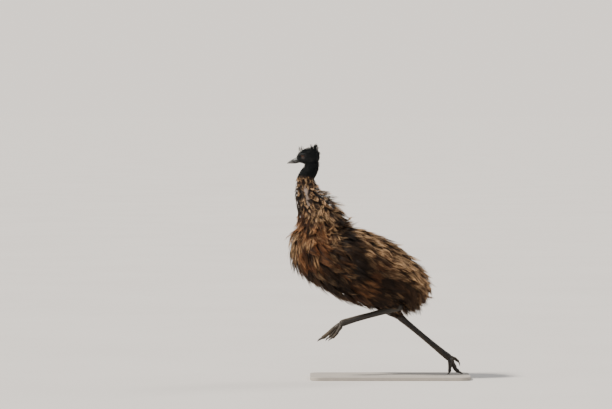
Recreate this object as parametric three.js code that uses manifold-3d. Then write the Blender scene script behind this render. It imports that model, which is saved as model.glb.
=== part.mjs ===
// A life-size emu in mid-stride on a flat display base. Millimetres, +Z up.
// The bird runs towards -X, its left side faces -Y, and the origin is the centre of the base's underside.
import * as THREE from "three";
import { mergeVertices } from "three/addons/utils/BufferGeometryUtils.js";
import Module from "manifold-3d";

const wasm = await Module();
wasm.setup();
const vec = (x, y, z) => new THREE.Vector3(x, y, z);

// Driving dimensions
const GAP = 0.35; // left between neighbouring pieces
const BASE = { length: 1000, width: 420, thick: 22, corner: 60, edge: 3 };
const GROUND = BASE.thick + GAP; // the level that the toes stand on
const EYE = { x: -545, z: 1393, out: 20, radius: 12.5 };
const EAR = { x: -497, z: 1366, out: 33, radius: 4.5 };
const MOUTH_GAP = 0.7;
const TAIL_STARTS = 0.76; // share of the trunk's line where the tail node takes over
const BARE_NECK_ENDS = 0.27; // share of the neck's line down to which the neck is bare

// Stations of each body form: the line's x, y and z, then the reach over it, under it and to each side.
// "Over" is the back of the body and neck, the rear of a leg and the sole of a toe.
const TRUNK = [
  [-600, 0, 868, 30, 30, 30],
  [-582, 0, 862, 88, 75, 82],
  [-522, 0, 838, 135, 130, 135],
  [-430, 0, 800, 165, 172, 168],
  [-312, 0, 754, 192, 197, 185],
  [-175, 0, 704, 200, 214, 190],
  [-31, 0, 650, 180, 180, 172],
  [94, 0, 606, 122, 135, 132],
  [170, 0, 580, 78, 85, 90],
  [215, 0, 566, 26, 28, 34],
];
const NECK = [
  [-484, 0, 1366, 34, 28, 26],
  [-485, 0, 1338, 38, 32, 31],
  [-494, 0, 1308, 44, 38, 36],
  [-522, 0, 1258, 48, 44, 38],
  [-534, 0, 1191, 60, 46, 46],
  [-524, 0, 1116, 90, 54, 60],
  [-491, 0, 1041, 117, 80, 86],
  [-450, 0, 960, 132, 120, 122],
  [-406, 0, 879, 120, 130, 125],
  [-375, 0, 830, 60, 60, 60],
];
const HEAD = [
  [-592, 0, 1366, 6, 8, 8],
  [-578, 0, 1370, 16, 18, 18],
  [-548, 0, 1380, 38, 32, 29],
  [-515, 0, 1386, 46, 44, 35],
  [-485, 0, 1385, 46, 49, 37],
  [-460, 0, 1380, 35, 46, 32],
  [-443, 0, 1375, 15, 24, 17],
];
const BILL = [
  [-643, 0, 1345.5, 1, 1.5, 1.5],
  [-638, 0, 1347.5, 5.5, 3, 5.5],
  [-625, 0, 1350.5, 10.5, 4.5, 10],
  [-605, 0, 1354.5, 16, 8, 14.5],
  [-583, 0, 1359, 20, 12, 18],
  [-556, 0, 1364, 21, 15, 20],
];

// The legs: a drumstick down to the ankle, a shank down to the foot and three toes, each ending in a claw.
const LEGS = {
  left: {
    drumstick: [
      [-235, -84, 612, 40, 40, 34],
      [-200, -86, 592, 74, 70, 58],
      [-120, -88, 548, 78, 74, 62],
      [-45, -86, 506, 60, 56, 48],
      [8, -83, 476, 37, 33, 31],
      [40, -81, 457, 25, 23, 23],
      [52, -80, 450, 16, 15, 16],
    ],
    shank: [
      [78, -80, 461, 8, 8, 8],
      [66, -80, 456, 21, 20, 19],
      [44, -80, 448, 23, 22, 20],
      [5, -79, 436, 19, 18, 16],
      [-90, -78, 410, 17, 16, 13.5],
      [-190, -77, 383, 17, 17, 13.5],
      [-262, -76, 362, 19, 19, 17],
      [-298, -76, 350, 20, 20, 21],
      [-314, -76, 340, 12, 13, 15],
    ],
    toes: {
      inner: {
        line: [[-302, -62, 343], [-328, -53, 315], [-358, -48, 282], [-381, -45, 259]],
        claw: [[-396, -43, 249], [-403, -42, 235]],
        thick: 11,
        wide: 11,
      },
      middle: {
        line: [[-306, -76, 346], [-348, -78, 318], [-394, -80, 280], [-428, -81, 256]],
        claw: [[-444, -82, 247], [-455, -82, 236]],
        thick: 15,
        wide: 16,
      },
      outer: {
        line: [[-302, -90, 341], [-324, -103, 306], [-346, -110, 275], [-364, -113, 260]],
        claw: [[-377, -115, 252], [-387, -116, 241]],
        thick: 11,
        wide: 11,
      },
    },
  },
  right: {
    drumstick: [
      [-155, 84, 602, 44, 44, 36],
      [-118, 83, 565, 76, 76, 60],
      [-50, 78, 497, 74, 70, 58],
      [8, 72, 439, 54, 50, 44],
      [44, 67, 403, 33, 30, 30],
      [62, 64, 385, 25, 23, 23],
      [70, 63, 377, 16, 15, 16],
    ],
    shank: [
      [50, 65, 396, 8, 8, 8],
      [57, 64, 389, 20, 19, 18],
      [74, 62, 373, 22, 21, 20],
      [110, 59, 343, 18, 18, 16],
      [190, 52, 277, 16, 16, 13.5],
      [270, 44, 211, 16, 17, 13.5],
      [336, 38, 156, 19, 19, 17],
      [368, 35, 130, 21, 20, 21],
      [382, 34, 117, 13, 13, 15],
    ],
    toes: {
      inner: {
        line: [[372, 22, 124], [376, 14, 92], [375, 8, 58], [372, 5, 37]],
        claw: [[367, 4, 30], [362, 4, 24]],
        thick: 12,
        wide: 12,
      },
      middle: {
        line: [[377, 34, 123], [396, 36, 88], [414, 38, 54], [434, 39, 38]],
        claw: [[448, 40, 32], [460, 40, 24]],
        thick: 15,
        wide: 16,
      },
      outer: {
        line: [[376, 48, 128], [400, 62, 123], [423, 72, 108], [434, 77, 98]],
        claw: [[440, 79, 86], [441, 80, 68]],
        thick: 10.5,
        wide: 11,
      },
    },
  },
};

// Seeded random numbers, the same on every run
function randomFrom(seed) {
  let state = seed;
  return () => {
    state = (state + 0x6d2b79f5) | 0;
    let mixed = Math.imul(state ^ (state >>> 15), 1 | state);
    mixed = (mixed + Math.imul(mixed ^ (mixed >>> 7), 61 | mixed)) ^ mixed;
    return ((mixed ^ (mixed >>> 14)) >>> 0) / 2 ** 32;
  };
}

// A closed geometry from rings of points, with a point closing each end
function ringGeometry(start, rings, end, turned = (side) => false) {
  const sides = rings[0].length;
  const points = [start, ...rings.flat(), end];
  const faces = [];
  const id = (ring, side) => 1 + ring * sides + (side % sides);
  for (let side = 0; side < sides; side++) {
    faces.push(0, id(0, side + 1), id(0, side));
    faces.push(points.length - 1, id(rings.length - 1, side), id(rings.length - 1, side + 1));
  }
  for (let ring = 0; ring + 1 < rings.length; ring++)
    for (let side = 0; side < sides; side++) {
      const [a, b] = [id(ring, side), id(ring, side + 1)];
      const [c, d] = [id(ring + 1, side), id(ring + 1, side + 1)];
      if (turned(side)) faces.push(a, b, c, b, d, c);
      else faces.push(a, b, d, a, d, c);
    }
  const geometry = new THREE.BufferGeometry().setFromPoints(points);
  return geometry.setIndex(faces);
}

// Each point of a closed surface moves until every face that meets there has gone out by the amount.
function grownBy(positions, index, amount) {
  const points = Array.from({ length: positions.length / 3 }, (_, i) => vec().fromArray(positions, 3 * i));
  const normals = points.map(() => []);
  for (let i = 0; i < index.length; i += 3) {
    const corners = [index[i], index[i + 1], index[i + 2]];
    const [a, b, c] = corners.map((corner) => points[corner]);
    const normal = b.clone().sub(a).cross(c.clone().sub(a));
    const flat = normal.length() < 1e-6;
    if (!flat) corners.forEach((corner) => normals[corner].push(normal.clone().normalize()));
  }
  const rounds = 60;
  return points.map((point, i) => {
    const moved = vec();
    for (let round = 0; round < rounds; round++)
      for (const normal of normals[i]) {
        const short = amount - moved.dot(normal);
        if (short > 0) moved.addScaledVector(normal, short);
      }
    return point.clone().add(moved.clampLength(0, 10 * amount));
  });
}

// A three.js geometry as a solid that can be joined and cut, and grown to make room for it in a neighbour
function solidOf(geometry, grow = 0) {
  const bare = geometry.clone();
  bare.deleteAttribute("normal");
  bare.deleteAttribute("uv");
  const merged = mergeVertices(bare, 1e-3);
  let vertProperties = merged.attributes.position.array;
  let triVerts = new Uint32Array(merged.index.array);
  const made = () => new wasm.Manifold(new wasm.Mesh({ numProp: 3, vertProperties, triVerts }));
  if (made().volume() < 0) triVerts = triVerts.reverse();
  if (grow > 0) {
    const grown = grownBy(vertProperties, triVerts, grow);
    vertProperties = new Float32Array(grown.flatMap((p) => p.toArray()));
  }
  return made();
}

const join = (solids) => wasm.Manifold.union(solids);

const END_BULGE = 0.25; // how far the point that closes an end stands out, as a share of the reach there

// A rounded body form along a line, with its own reach over, under and beside the line at each station
class Form {
  constructor(stations) {
    this.line = new THREE.CatmullRomCurve3(stations.map(([x, y, z]) => vec(x, y, z)), false, "centripetal");
    const reaches = stations.map(([, , , over, under, side]) => vec(over, under, side));
    this.reach = new THREE.CatmullRomCurve3(reaches, false, "catmullrom", 0.5);
  }

  axes(t) {
    const at = this.line.getPoint(t);
    const along = this.line.getTangent(t);
    const side = vec(0, 1, 0).addScaledVector(along, -along.y).normalize();
    return { at, along, side, over: vec().crossVectors(along, side) };
  }

  // The surface point at share t of the line and an angle round it: 0 over the line, a quarter turn at +Y
  point(t, angle, raised = 0) {
    const { at, side, over } = this.axes(t);
    const reach = this.reach.getPoint(t);
    const upright = Math.cos(angle) > 0 ? reach.x : reach.y;
    return at
      .addScaledVector(over, Math.cos(angle) * (Math.max(upright, 1) + raised))
      .addScaledVector(side, Math.sin(angle) * (Math.max(reach.z, 1) + raised));
  }

  // Outward normal and the two surface directions, by small differences
  surface(t, angle) {
    const step = 1e-3;
    const at = this.point(t, angle);
    const alongs = this.point(Math.min(t + step, 1), angle).sub(this.point(Math.max(t - step, 0), angle));
    const rounds = this.point(t, angle + step).sub(this.point(t, angle - step));
    alongs.divideScalar(Math.min(t + step, 1) - Math.max(t - step, 0));
    rounds.divideScalar(2 * step);
    return { at, alongs, rounds, out: vec().crossVectors(alongs, rounds).normalize() };
  }

  solid({ rings = 12, sides = 12, grow = 0, from = 0, to = 1, shares = null, raise = () => 0 }) {
    const steps = shares ?? Array.from({ length: rings }, (_, i) => from + ((to - from) * i) / (rings - 1));
    const made = steps.map((t) =>
      Array.from({ length: sides }, (_, i) => {
        const angle = (2 * Math.PI * (i + 0.5)) / sides;
        return this.point(t, angle, raise(t, angle));
      }),
    );
    // A whole end is rounded off by its closing point, and a parted one is flat.
    const bulge = (t) => (t <= 0 || t >= 1 ? END_BULGE * this.reach.getPoint(t).x : 0);
    const first = this.axes(steps[0]);
    const last = this.axes(steps.at(-1));
    const start = first.at.addScaledVector(first.along, -bulge(steps[0]));
    const end = last.at.addScaledVector(last.along, bulge(steps.at(-1)));
    return solidOf(ringGeometry(start, made, end), grow);
  }

  // Where a point lies about the form: the nearest section, and how far out it is as a share of the surface
  about(p, margin = 0) {
    const samples = 40;
    let nearest = { off: Infinity };
    for (let i = 0; i <= samples; i++) {
      const { at, along, side, over } = this.axes(i / samples);
      const d = p.clone().sub(at);
      const off = Math.abs(d.dot(along));
      if (off < nearest.off) nearest = { off, t: i / samples, d, at, along, side, over };
    }
    const { t, d, side, over } = nearest;
    const reach = this.reach.getPoint(t);
    const tall = (d.dot(over) > 0 ? reach.x : reach.y) + margin;
    return { ...nearest, share: Math.hypot(d.dot(over) / tall, d.dot(side) / (reach.z + margin)) };
  }

  // Whether a point lies inside the form, or within a margin of it
  holds(p, margin = 0) {
    const { off, share } = this.about(p, margin);
    return off < 12 + margin && share < 1;
  }

  // A point moved out of the form to a margin over its surface, where it lies inside that
  lifted(p, margin) {
    const { off, share, d, at, along } = this.about(p, margin);
    if (off > 12 + margin || share >= 1) return p;
    const lengthwise = along.clone().multiplyScalar(d.dot(along));
    const outwards = d.clone().sub(lengthwise).divideScalar(Math.max(share, 0.2));
    return at.clone().add(lengthwise).add(outwards);
  }
}

// Follows the lie over a form's surface from a root, and returns points with their outward normals
const PATH_STEPS = 8;
function follow(form, t, angle, length, lieAt) {
  const path = [];
  const stride = length / PATH_STEPS;
  while (path.length <= PATH_STEPS) {
    const { at, alongs, rounds, out } = form.surface(t, angle);
    const lie = lieAt(at, out);
    lie.addScaledVector(out, -lie.dot(out)).normalize();
    path.push({ at, out, lie, t, angle });
    const [aa, ar, rr] = [alongs.dot(alongs), alongs.dot(rounds), rounds.dot(rounds) + 1];
    const [la, lr] = [lie.dot(alongs), lie.dot(rounds)];
    const det = aa * rr - ar * ar;
    t += (stride * (la * rr - lr * ar)) / det;
    angle += (stride * (lr * aa - la * ar)) / det;
    if (t < 0) [t, angle] = [-t, angle + Math.PI];
    if (t > 1) break;
  }
  // Past the form's end a path runs straight on, and turns towards the lie.
  while (path.length <= PATH_STEPS) {
    const { at, out, lie } = path.at(-1);
    const turned = lie.clone().addScaledVector(lieAt(at, out).normalize(), 0.35).normalize();
    path.push({ at: at.clone().addScaledVector(turned, stride), out, lie: turned });
  }
  return path;
}

// A path lifted clear of another form that it would run into, so that a lock lies over that form
function laidOver(path, form, margin) {
  const points = path.map(({ at }) => form.lifted(at, margin));
  return path.map(({ out, lie }, i) => {
    const along = points[Math.min(i + 1, points.length - 1)].clone().sub(points[Math.max(i - 1, 0)]);
    const way = along.length() > 1 ? along.normalize() : lie;
    const moved = points[i].clone().sub(path[i].at).multiplyScalar(0.05).add(out);
    return { at: points[i], lie: way, out: moved.addScaledVector(way, -moved.dot(way)).normalize() };
  });
}

// A flat, tapered lock that lifts off its form and bends back along it, with its root sunk in the form
const LOCK_PROFILE = [
  { share: 0, wide: 0.7, lift: 0 },
  { share: 0.375, wide: 1, lift: 0.52 },
  { share: 0.75, wide: 0.66, lift: 0.92 },
];
const LOCK_TIP_LIFT = 0.94;
const RIDGE = { outer: 0.65, inner: 0.35 }; // how a lock's thickness is shared by its two faces
function lock(path, { width, thick, depth, sink }, grow = 0) {
  const last = path.length - 1;
  const place = (share, lift) => {
    const { at, out } = path[Math.round(share * last)];
    return at.clone().addScaledVector(out, lift);
  };
  const rings = LOCK_PROFILE.map(({ share, wide, lift }) => {
    const { out, lie } = path[Math.round(share * last)];
    const across = vec().crossVectors(lie, out).normalize();
    const centre = place(share, share === 0 ? -sink : lift * depth);
    const half = (width / 2) * wide;
    return [
      centre.clone().addScaledVector(across, half),
      centre.clone().addScaledVector(out, thick * wide * RIDGE.outer),
      centre.clone().addScaledVector(across, -half),
      centre.clone().addScaledVector(out, -thick * wide * RIDGE.inner),
    ];
  });
  const tip = place(1, LOCK_TIP_LIFT * depth);
  return solidOf(ringGeometry(place(0, -sink), rings, tip, (side) => side % 2 === 1), grow);
}

// The first place along the lie where a root is clear of a neighbouring form, if that is near
const ROOT_SLIDE = 70;
const ROOT_MARGIN = 3;
const LEAST_BEND = 0.75; // a path that turns more sharply than this cosine in one step isn't used
function rootClearOf(form, t, angle, neighbour, lie) {
  const path = follow(form, t, angle, ROOT_SLIDE, lie);
  if (!neighbour) return path[0];
  return path.find((step) => step.t !== undefined && !neighbour.holds(step.at, ROOT_MARGIN));
}

// Rows of locks over part of a form, spaced evenly round it and set off from row to row.
// A lock that would run into one of the forms to avoid is made shorter, or left out.
function coat(form, spec, grow = 0) {
  const random = randomFrom(spec.seed);
  const vary = (amount) => 1 + amount * (2 * random() - 1);
  const made = [];
  const step = (spec.to - spec.from) / Math.max(spec.rows - 1, 1);
  for (let row = 0; row < spec.rows; row++) {
    const reach = form.reach.getPoint(spec.from + row * step);
    const girth = Math.PI * ((reach.x + reach.y) / 2 + reach.z);
    const count = Math.max(3, Math.round(girth / spec.spacing));
    for (let i = 0; i < count; i++) {
      const angle = (2 * Math.PI * (i + (row % 2 ? 0.5 : 0) + 0.2 * (random() - 0.5))) / count + 0.01;
      const t = THREE.MathUtils.clamp(spec.from + (row + 0.2 * (random() - 0.5)) * step, 0, 1);
      const sizes = { length: vary(0.16), width: vary(0.12), depth: vary(0.2), swing: vary(0.16) - 1 };
      const lie = (p, normal) => spec.lie(p, normal).applyAxisAngle(normal, sizes.swing);
      const start = rootClearOf(form, t, angle, spec.rootClear, lie);
      if (!start || (spec.keep && !spec.keep(start.at, start.out))) continue;
      const { length, width, depth, thick } = spec.lockAt(start.at, start.out, start.t);
      const laid = (share) => {
        const path = follow(form, start.t, start.angle, share * length * sizes.length, lie);
        return spec.over ? laidOver(path, spec.over, spec.clear) : path;
      };
      const meets = (path) =>
        (spec.avoid ?? []).some(([other, margin]) => path.slice(2).some((p) => other.holds(p.at, margin)));
      const kinked = (path) => path.some((p, i) => i > 0 && p.lie.dot(path[i - 1].lie) < LEAST_BEND);
      const path = [1, 0.7, 0.5].map(laid).find((tried) => !meets(tried) && !kinked(tried));
      if (!path) continue;
      const size = { width: width * sizes.width, thick, depth: depth * sizes.depth, sink: spec.sink };
      made.push(lock(path, size, grow));
    }
  }
  return made;
}

const headForm = new Form(HEAD);
const neckForm = new Form(NECK);
const trunkForm = new Form(TRUNK);

const eyeSolid = (side, grow = 0) =>
  solidOf(new THREE.SphereGeometry(EYE.radius, 12, 8).translate(EYE.x, side * EYE.out, EYE.z), grow);

// The line of the mouth as a thin sheet between the two halves of the bill, from tip to gape
const MOUTH = [[-652, 1345.2], [-640, 1346.8], [-610, 1352], [-580, 1357.5], [-550, 1362], [-516, 1366]];
function mouthSheet(from, to, deep = 60) {
  const shape = new THREE.Shape();
  const curve = new THREE.SplineCurve(MOUTH.map(([x, z]) => new THREE.Vector2(x, z)));
  const samples = 8;
  const points = Array.from({ length: samples + 1 }, (_, i) => curve.getPoint(i / samples));
  const kept = points.filter((p) => p.x >= from && p.x <= to);
  shape.moveTo(kept[0].x, kept[0].y - MOUTH_GAP / 2);
  kept.slice(1).forEach((p) => shape.lineTo(p.x, p.y - MOUTH_GAP / 2));
  [...kept].reverse().forEach((p) => shape.lineTo(p.x, p.y + MOUTH_GAP / 2));
  const sheet = new THREE.ExtrudeGeometry(shape, { depth: deep, bevelEnabled: false });
  return solidOf(sheet.translate(0, 0, -deep / 2).rotateX(Math.PI / 2));
}

const billForm = new Form(BILL);
const billWhole = (grow = 0) => billForm.solid({ rings: 10, sides: 12, grow });

function billHalves() {
  const nostrils = [-1, 1].map((side) =>
    solidOf(new THREE.SphereGeometry(3.2, 10, 8).scale(1.7, 0.8, 0.75).translate(-607, side * 11.5, 1364)),
  );
  const halves = billWhole().subtract(join([mouthSheet(-660, -500), ...nostrils])).decompose();
  const height = (solid) => (solid.boundingBox().max[2] + solid.boundingBox().min[2]) / 2;
  const large = halves.sort((a, b) => b.volume() - a.volume()).slice(0, 2);
  return large.sort((a, b) => height(b) - height(a));
}

// Hair-like feathers in tufts over the crown and down the nape, longest at the back of the crown
const CREST = {
  seed: 12,
  rows: 5,
  from: 0.26,
  to: 0.82,
  spacing: 38,
  sink: 8,
  keep: (at, out) => out.z > 0.35,
  lie: () => vec(1, 0, -0.1),
  lockAt: (at, out, t) => ({
    length: 38 + 12 * t,
    width: 27,
    depth: 9 + 20 * t * Math.max(0, out.z - 0.6),
    thick: 9,
  }),
};
const crest = (grow = 0) => coat(headForm, CREST, grow);

// A ring of raised skin round an opening on the side of the head
function rim(at, side, radius, tube, tall, grow) {
  const ring = new THREE.TorusGeometry(radius, tube, 4, 11).scale(1.08, tall, 1);
  return solidOf(ring.rotateX(Math.PI / 2).translate(at.x, side * at.out, at.z), grow);
}

const CHEEK_GROOVE = 5;
const LID = { ring: 10.6, tube: 2.6, out: 28.6, flat: 0.86 };
const EAR_RIM = { ring: 6.2, tube: 1.8 };
function headWhole(grow = 0) {
  const sides = [-1, 1];
  const lids = sides.map((side) => rim({ ...EYE, out: LID.out }, side, LID.ring, LID.tube, LID.flat, grow));
  const ears = sides.map((side) => rim(EAR, side, EAR_RIM.ring, EAR_RIM.tube, 1, grow));
  return join([headForm.solid({ rings: 12, sides: 16, grow }), ...lids, ...ears, ...crest(grow)]);
}
function headSolid() {
  const sides = [-1, 1];
  const cuts = [
    billWhole(GAP),
    ...sides.map((side) => eyeSolid(side, GAP)),
    ...sides.map((side) =>
      solidOf(new THREE.SphereGeometry(EAR.radius, 10, 8).translate(EAR.x, side * (EAR.out + 2), EAR.z)),
    ),
  ];
  // The mouth's corner runs back over the cheeks as a shallow groove.
  const slimmer = (reach) => Math.max(reach - CHEEK_GROOVE, 1);
  const inner = new Form(HEAD.map(([x, y, z, ...reach]) => [x, y, z, ...reach.map(slimmer)]));
  const inside = inner.solid({ rings: 8, sides: 12 });
  cuts.push(mouthSheet(-600, -505, 120).subtract(inside));
  return headWhole().subtract(join(cuts));
}

const neckUpper = (grow = 0) => neckForm.solid({ rings: 7, sides: 14, to: BARE_NECK_ENDS, grow });

// Feathers on the neck lie down it and are blown towards the tail; behind, they stand out as a mane.
const behind = (out) => Math.max(0, out.x);
const NECK_COAT = {
  seed: 5,
  rows: 6,
  from: 0.3,
  to: 0.72,
  spacing: 76,
  sink: 9,
  over: trunkForm,
  clear: 12,
  lie: (at, out) => vec(0.3 + 0.45 * behind(out), 0, -1),
  lockAt: (at, out, t) => ({
    length: 86 + 110 * (t - 0.3) + 22 * behind(out),
    width: 60 + 44 * (t - 0.3),
    depth: 11 + 22 * (t - 0.3) + 30 * behind(out),
    thick: 15,
  }),
};
const neckWhole = (grow = 0) => {
  const core = neckForm.solid({ rings: 10, sides: 14, from: BARE_NECK_ENDS, grow });
  return join([core, ...coat(neckForm, NECK_COAT, grow)]);
};

// Small wings that hang against the flanks behind the shoulders, with a few long feathers
const WING = [
  [-300, 146, 862, 14, 12, 8],
  [-280, 160, 840, 26, 24, 15],
  [-235, 182, 792, 31, 29, 18],
  [-192, 195, 742, 24, 22, 14],
  [-166, 197, 708, 10, 9, 8],
];
const wingForm = (side) => new Form(WING.map(([x, y, z, ...reach]) => [x, side * y, z, ...reach]));
const WING_COAT = {
  seed: 41,
  rows: 3,
  from: 0.12,
  to: 0.78,
  spacing: 30,
  sink: 8,
  lie: () => vec(0.8, 0, -0.6),
  lockAt: () => ({ length: 120, width: 50, depth: 14, thick: 13 }),
};
const wingWhole = (side, grow = 0) => {
  const form = wingForm(side);
  const spec = { ...WING_COAT, keep: (at, out) => out.y * side > 0.3 };
  return join([form.solid({ rings: 7, sides: 10, grow }), ...coat(form, spec, grow)]);
};

const drumstickForms = { left: new Form(LEGS.left.drumstick), right: new Form(LEGS.right.drumstick) };
const shankForms = { left: new Form(LEGS.left.shank), right: new Form(LEGS.right.shank) };

// Body feathers part along the back and hang to the rear and down; on the breast they hang down.
const TRUNK_COAT = {
  seed: 23,
  rows: 8,
  from: 0.05,
  to: 0.71,
  spacing: 118,
  sink: 12,
  avoid: [...Object.values(shankForms).map((form) => [form, 37]), [wingForm(-1), 4], [wingForm(1), 4]],
  lie: (at, out) => {
    const front = THREE.MathUtils.clamp((-at.x - 330) / 250, 0, 1);
    const parted = 0.35 * Math.sign(at.y || 1) * Math.max(0, out.z);
    return vec(0.9 - 0.75 * front, parted, -0.42 - 0.55 * front);
  },
  rootClear: neckForm,
  keep: (at) => !wingForm(Math.sign(at.y)).holds(at, 14),
  lockAt: (at, out, t) => ({
    length: 150 + 40 * t,
    width: 90,
    depth: 35,
    thick: 20,
  }),
};
const torsoWhole = (grow = 0) => {
  const core = trunkForm.solid({ rings: 12, sides: 16, to: TAIL_STARTS, grow });
  return join([core, ...coat(trunkForm, TRUNK_COAT, grow)]);
};
const TAIL_COAT = {
  seed: 31,
  rows: 3,
  from: 0.79,
  to: 0.93,
  spacing: 106,
  sink: 11,
  avoid: Object.values(shankForms).map((form) => [form, 30]),
  lie: (at, out) => vec(0.8, 0.15 * Math.sign(at.y || 1), -0.6),
  lockAt: () => ({ length: 140, width: 76, depth: 28, thick: 18 }),
};
const tailWhole = (grow = 0) => {
  const core = trunkForm.solid({ rings: 6, sides: 16, from: TAIL_STARTS, grow });
  return join([core, ...coat(trunkForm, TAIL_COAT, grow)]);
};

// Feathers on the drumsticks point down the leg and stop short of the ankle.
const DRUMSTICK_COAT = {
  seed: 47,
  rows: 3,
  from: 0.26,
  to: 0.62,
  spacing: 108,
  sink: 9,
  lockAt: (at, out, t) => ({ length: 104 - 34 * t, width: 62, depth: 17 - 8 * t, thick: 14 }),
};
const drumstickWhole = (side, grow = 0) => {
  const form = drumstickForms[side];
  const down = form.line.getPoint(1).sub(form.line.getPoint(0)).normalize();
  const spec = { ...DRUMSTICK_COAT, lie: () => down.clone().add(vec(0.15, 0, -0.1)) };
  return join([form.solid({ rings: 10, sides: 14, grow }), ...coat(form, spec, grow)]);
};

// Overlapping scutes down the front of a shank: each rises towards its lower edge, then steps back.
const SCUTE = { count: 9, from: 0.3, to: 0.86, rise: 2 };
function scuteShares({ count, from, to }) {
  const edge = 0.002;
  const steps = [];
  for (let i = 0; i <= count; i++) {
    const t = from + ((to - from) * i) / count;
    steps.push(t - edge, t + edge);
  }
  return steps;
}
const scuteRise = ({ count, from, to, rise }) => (t, angle) => {
  const front = THREE.MathUtils.clamp((-Math.cos(angle) - 0.1) / 0.5, 0, 1);
  const share = ((t - from) / (to - from)) * count;
  return t < from || t > to ? 0 : rise * front * (share - Math.floor(share));
};
function shankWhole(side, grow = 0) {
  const shares = [0, 0.08, 0.16, 0.23, ...scuteShares(SCUTE), 0.93, 1];
  return shankForms[side].solid({ shares, sides: 9, grow, raise: scuteRise(SCUTE) });
}

// A toe with pads under its joints and scutes on top, narrowing to the root of the claw
const TOE = { stations: 13, pads: 3, narrows: 0.36, rounded: 0.6 };
function toeForm({ line, thick, wide }) {
  const path = new THREE.CatmullRomCurve3(line.map(([x, y, z]) => vec(x, y, z)));
  const stations = Array.from({ length: TOE.stations }, (_, i) => {
    const t = i / (TOE.stations - 1);
    const p = path.getPoint(t);
    const size = (1 - TOE.narrows * t) * (t === 0 || t === 1 ? TOE.rounded : 1);
    const pad = 0.5 - 0.5 * Math.cos(2 * Math.PI * TOE.pads * t);
    const [sole, top, side] = [0.86 + 0.2 * pad, 0.84, 0.88 + 0.12 * pad];
    return [...p.toArray(), thick * size * sole, thick * size * top, wide * size * side];
  });
  return new Form(stations);
}
const TOE_SCUTES = { count: 4, from: 0.16, to: 0.92, rise: 1.5 };
function toeWhole(toe, grow = 0) {
  const shares = [0, 0.07, ...scuteShares(TOE_SCUTES), 1];
  return toeForm(toe).solid({ shares, sides: 7, grow, raise: scuteRise(TOE_SCUTES) });
}
function clawWhole({ line, claw, thick, wide }) {
  const [p, q, r] = [line.at(-1), ...claw];
  const back = q.map((value, i) => p[i] - 0.35 * (value - p[i]));
  return new Form([
    [...back, thick * 0.42, thick * 0.42, wide * 0.42],
    [...p, thick * 0.48, thick * 0.5, wide * 0.5],
    [...q, thick * 0.36, thick * 0.4, wide * 0.34],
    [...r, 0.6, 0.6, 0.6],
  ]).solid({ rings: 5, sides: 6 });
}

// Everything is kept above the level that the foot stands on, which leaves small flats under the toes.
const below = solidOf(new THREE.BoxGeometry(2000, 2000, 200).translate(0, 0, GROUND - 100));

function baseSolid() {
  const { length, width, thick, corner, edge } = BASE;
  const [x, y] = [length / 2 - edge, width / 2 - edge];
  const shape = new THREE.Shape();
  shape.moveTo(-x + corner, -y);
  shape.lineTo(x - corner, -y);
  shape.absarc(x - corner, -y + corner, corner, -Math.PI / 2, 0);
  shape.absarc(x - corner, y - corner, corner, 0, Math.PI / 2);
  shape.absarc(-x + corner, y - corner, corner, Math.PI / 2, Math.PI);
  shape.absarc(-x + corner, -y + corner, corner, Math.PI, 1.5 * Math.PI);
  const slab = new THREE.ExtrudeGeometry(shape, {
    depth: thick - 2 * edge,
    bevelThickness: edge,
    bevelSize: edge,
    bevelSegments: 1,
    curveSegments: 4,
  });
  return solidOf(slab.translate(0, 0, edge));
}

// Materials
const finish = (color, roughness) => new THREE.MeshStandardMaterial({ color, roughness, metalness: 0 });
const MATERIALS = {
  plumage: finish(0x5a4534, 0.85),
  dark_plumage: finish(0x17161a, 0.8),
  horn: finish(0x2a2724, 0.4),
  eye: finish(0x2b1508, 0.08),
  leg_skin: finish(0x3d3029, 0.6),
  claw: finish(0x1c1917, 0.4),
  stand: finish(0xb9a794, 0.6),
};

const emu = new THREE.Group();
function add(name, solid, material) {
  const kept = solid.decompose().sort((a, b) => b.volume() - a.volume())[0];
  const { vertProperties, triVerts } = kept.getMesh();
  const geometry = new THREE.BufferGeometry()
    .setAttribute("position", new THREE.BufferAttribute(new Float32Array(vertProperties), 3))
    .setIndex(new THREE.BufferAttribute(new Uint32Array(triVerts), 1));
  geometry.computeVertexNormals();
  const mesh = new THREE.Mesh(geometry, MATERIALS[material]);
  mesh.name = name;
  emu.add(mesh);
}

const SIDES = { left: -1, right: 1 };
const [billUpper, billLower] = billHalves();
add("bill_upper", billUpper, "horn");
add("bill_lower", billLower, "horn");
add("head", headSolid(), "dark_plumage");
add("neck_upper", neckUpper().subtract(headWhole(GAP)), "dark_plumage");
add("neck", neckWhole().subtract(neckUpper(GAP)), "plumage");
const neckRoom = neckWhole(GAP);
const wingRoom = join([wingWhole(-1, GAP), wingWhole(1, GAP)]);
add("torso", torsoWhole().subtract(neckRoom).subtract(wingRoom), "plumage");
const torsoRoom = torsoWhole(GAP);
add("tail", tailWhole().subtract(torsoRoom), "plumage");
const bodyRoom = join([torsoRoom, tailWhole(GAP)]);

for (const [name, sign] of Object.entries(SIDES)) {
  const leg = LEGS[name];
  add("eye_" + name, eyeSolid(sign), "eye");
  add("wing_" + name, wingWhole(sign), "plumage");
  add("drumstick_" + name, drumstickWhole(name).subtract(bodyRoom), "plumage");
  const shankRoom = drumstickWhole(name, GAP).add(bodyRoom);
  add("shank_" + name, shankWhole(name).subtract(shankRoom), "leg_skin");
  let room = shankWhole(name, GAP).add(drumstickWhole(name, GAP));
  for (const toe of ["middle", "inner", "outer"]) {
    add("toe_" + toe + "_" + name, toeWhole(leg.toes[toe]).subtract(room).subtract(below), "leg_skin");
    const toeRoom = toeWhole(leg.toes[toe], GAP);
    add("claw_" + toe + "_" + name, clawWhole(leg.toes[toe]).subtract(toeRoom).subtract(below), "claw");
    room = room.add(toeRoom);
  }
}
add("stand_base", baseSolid(), "stand");

export default emu;
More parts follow.
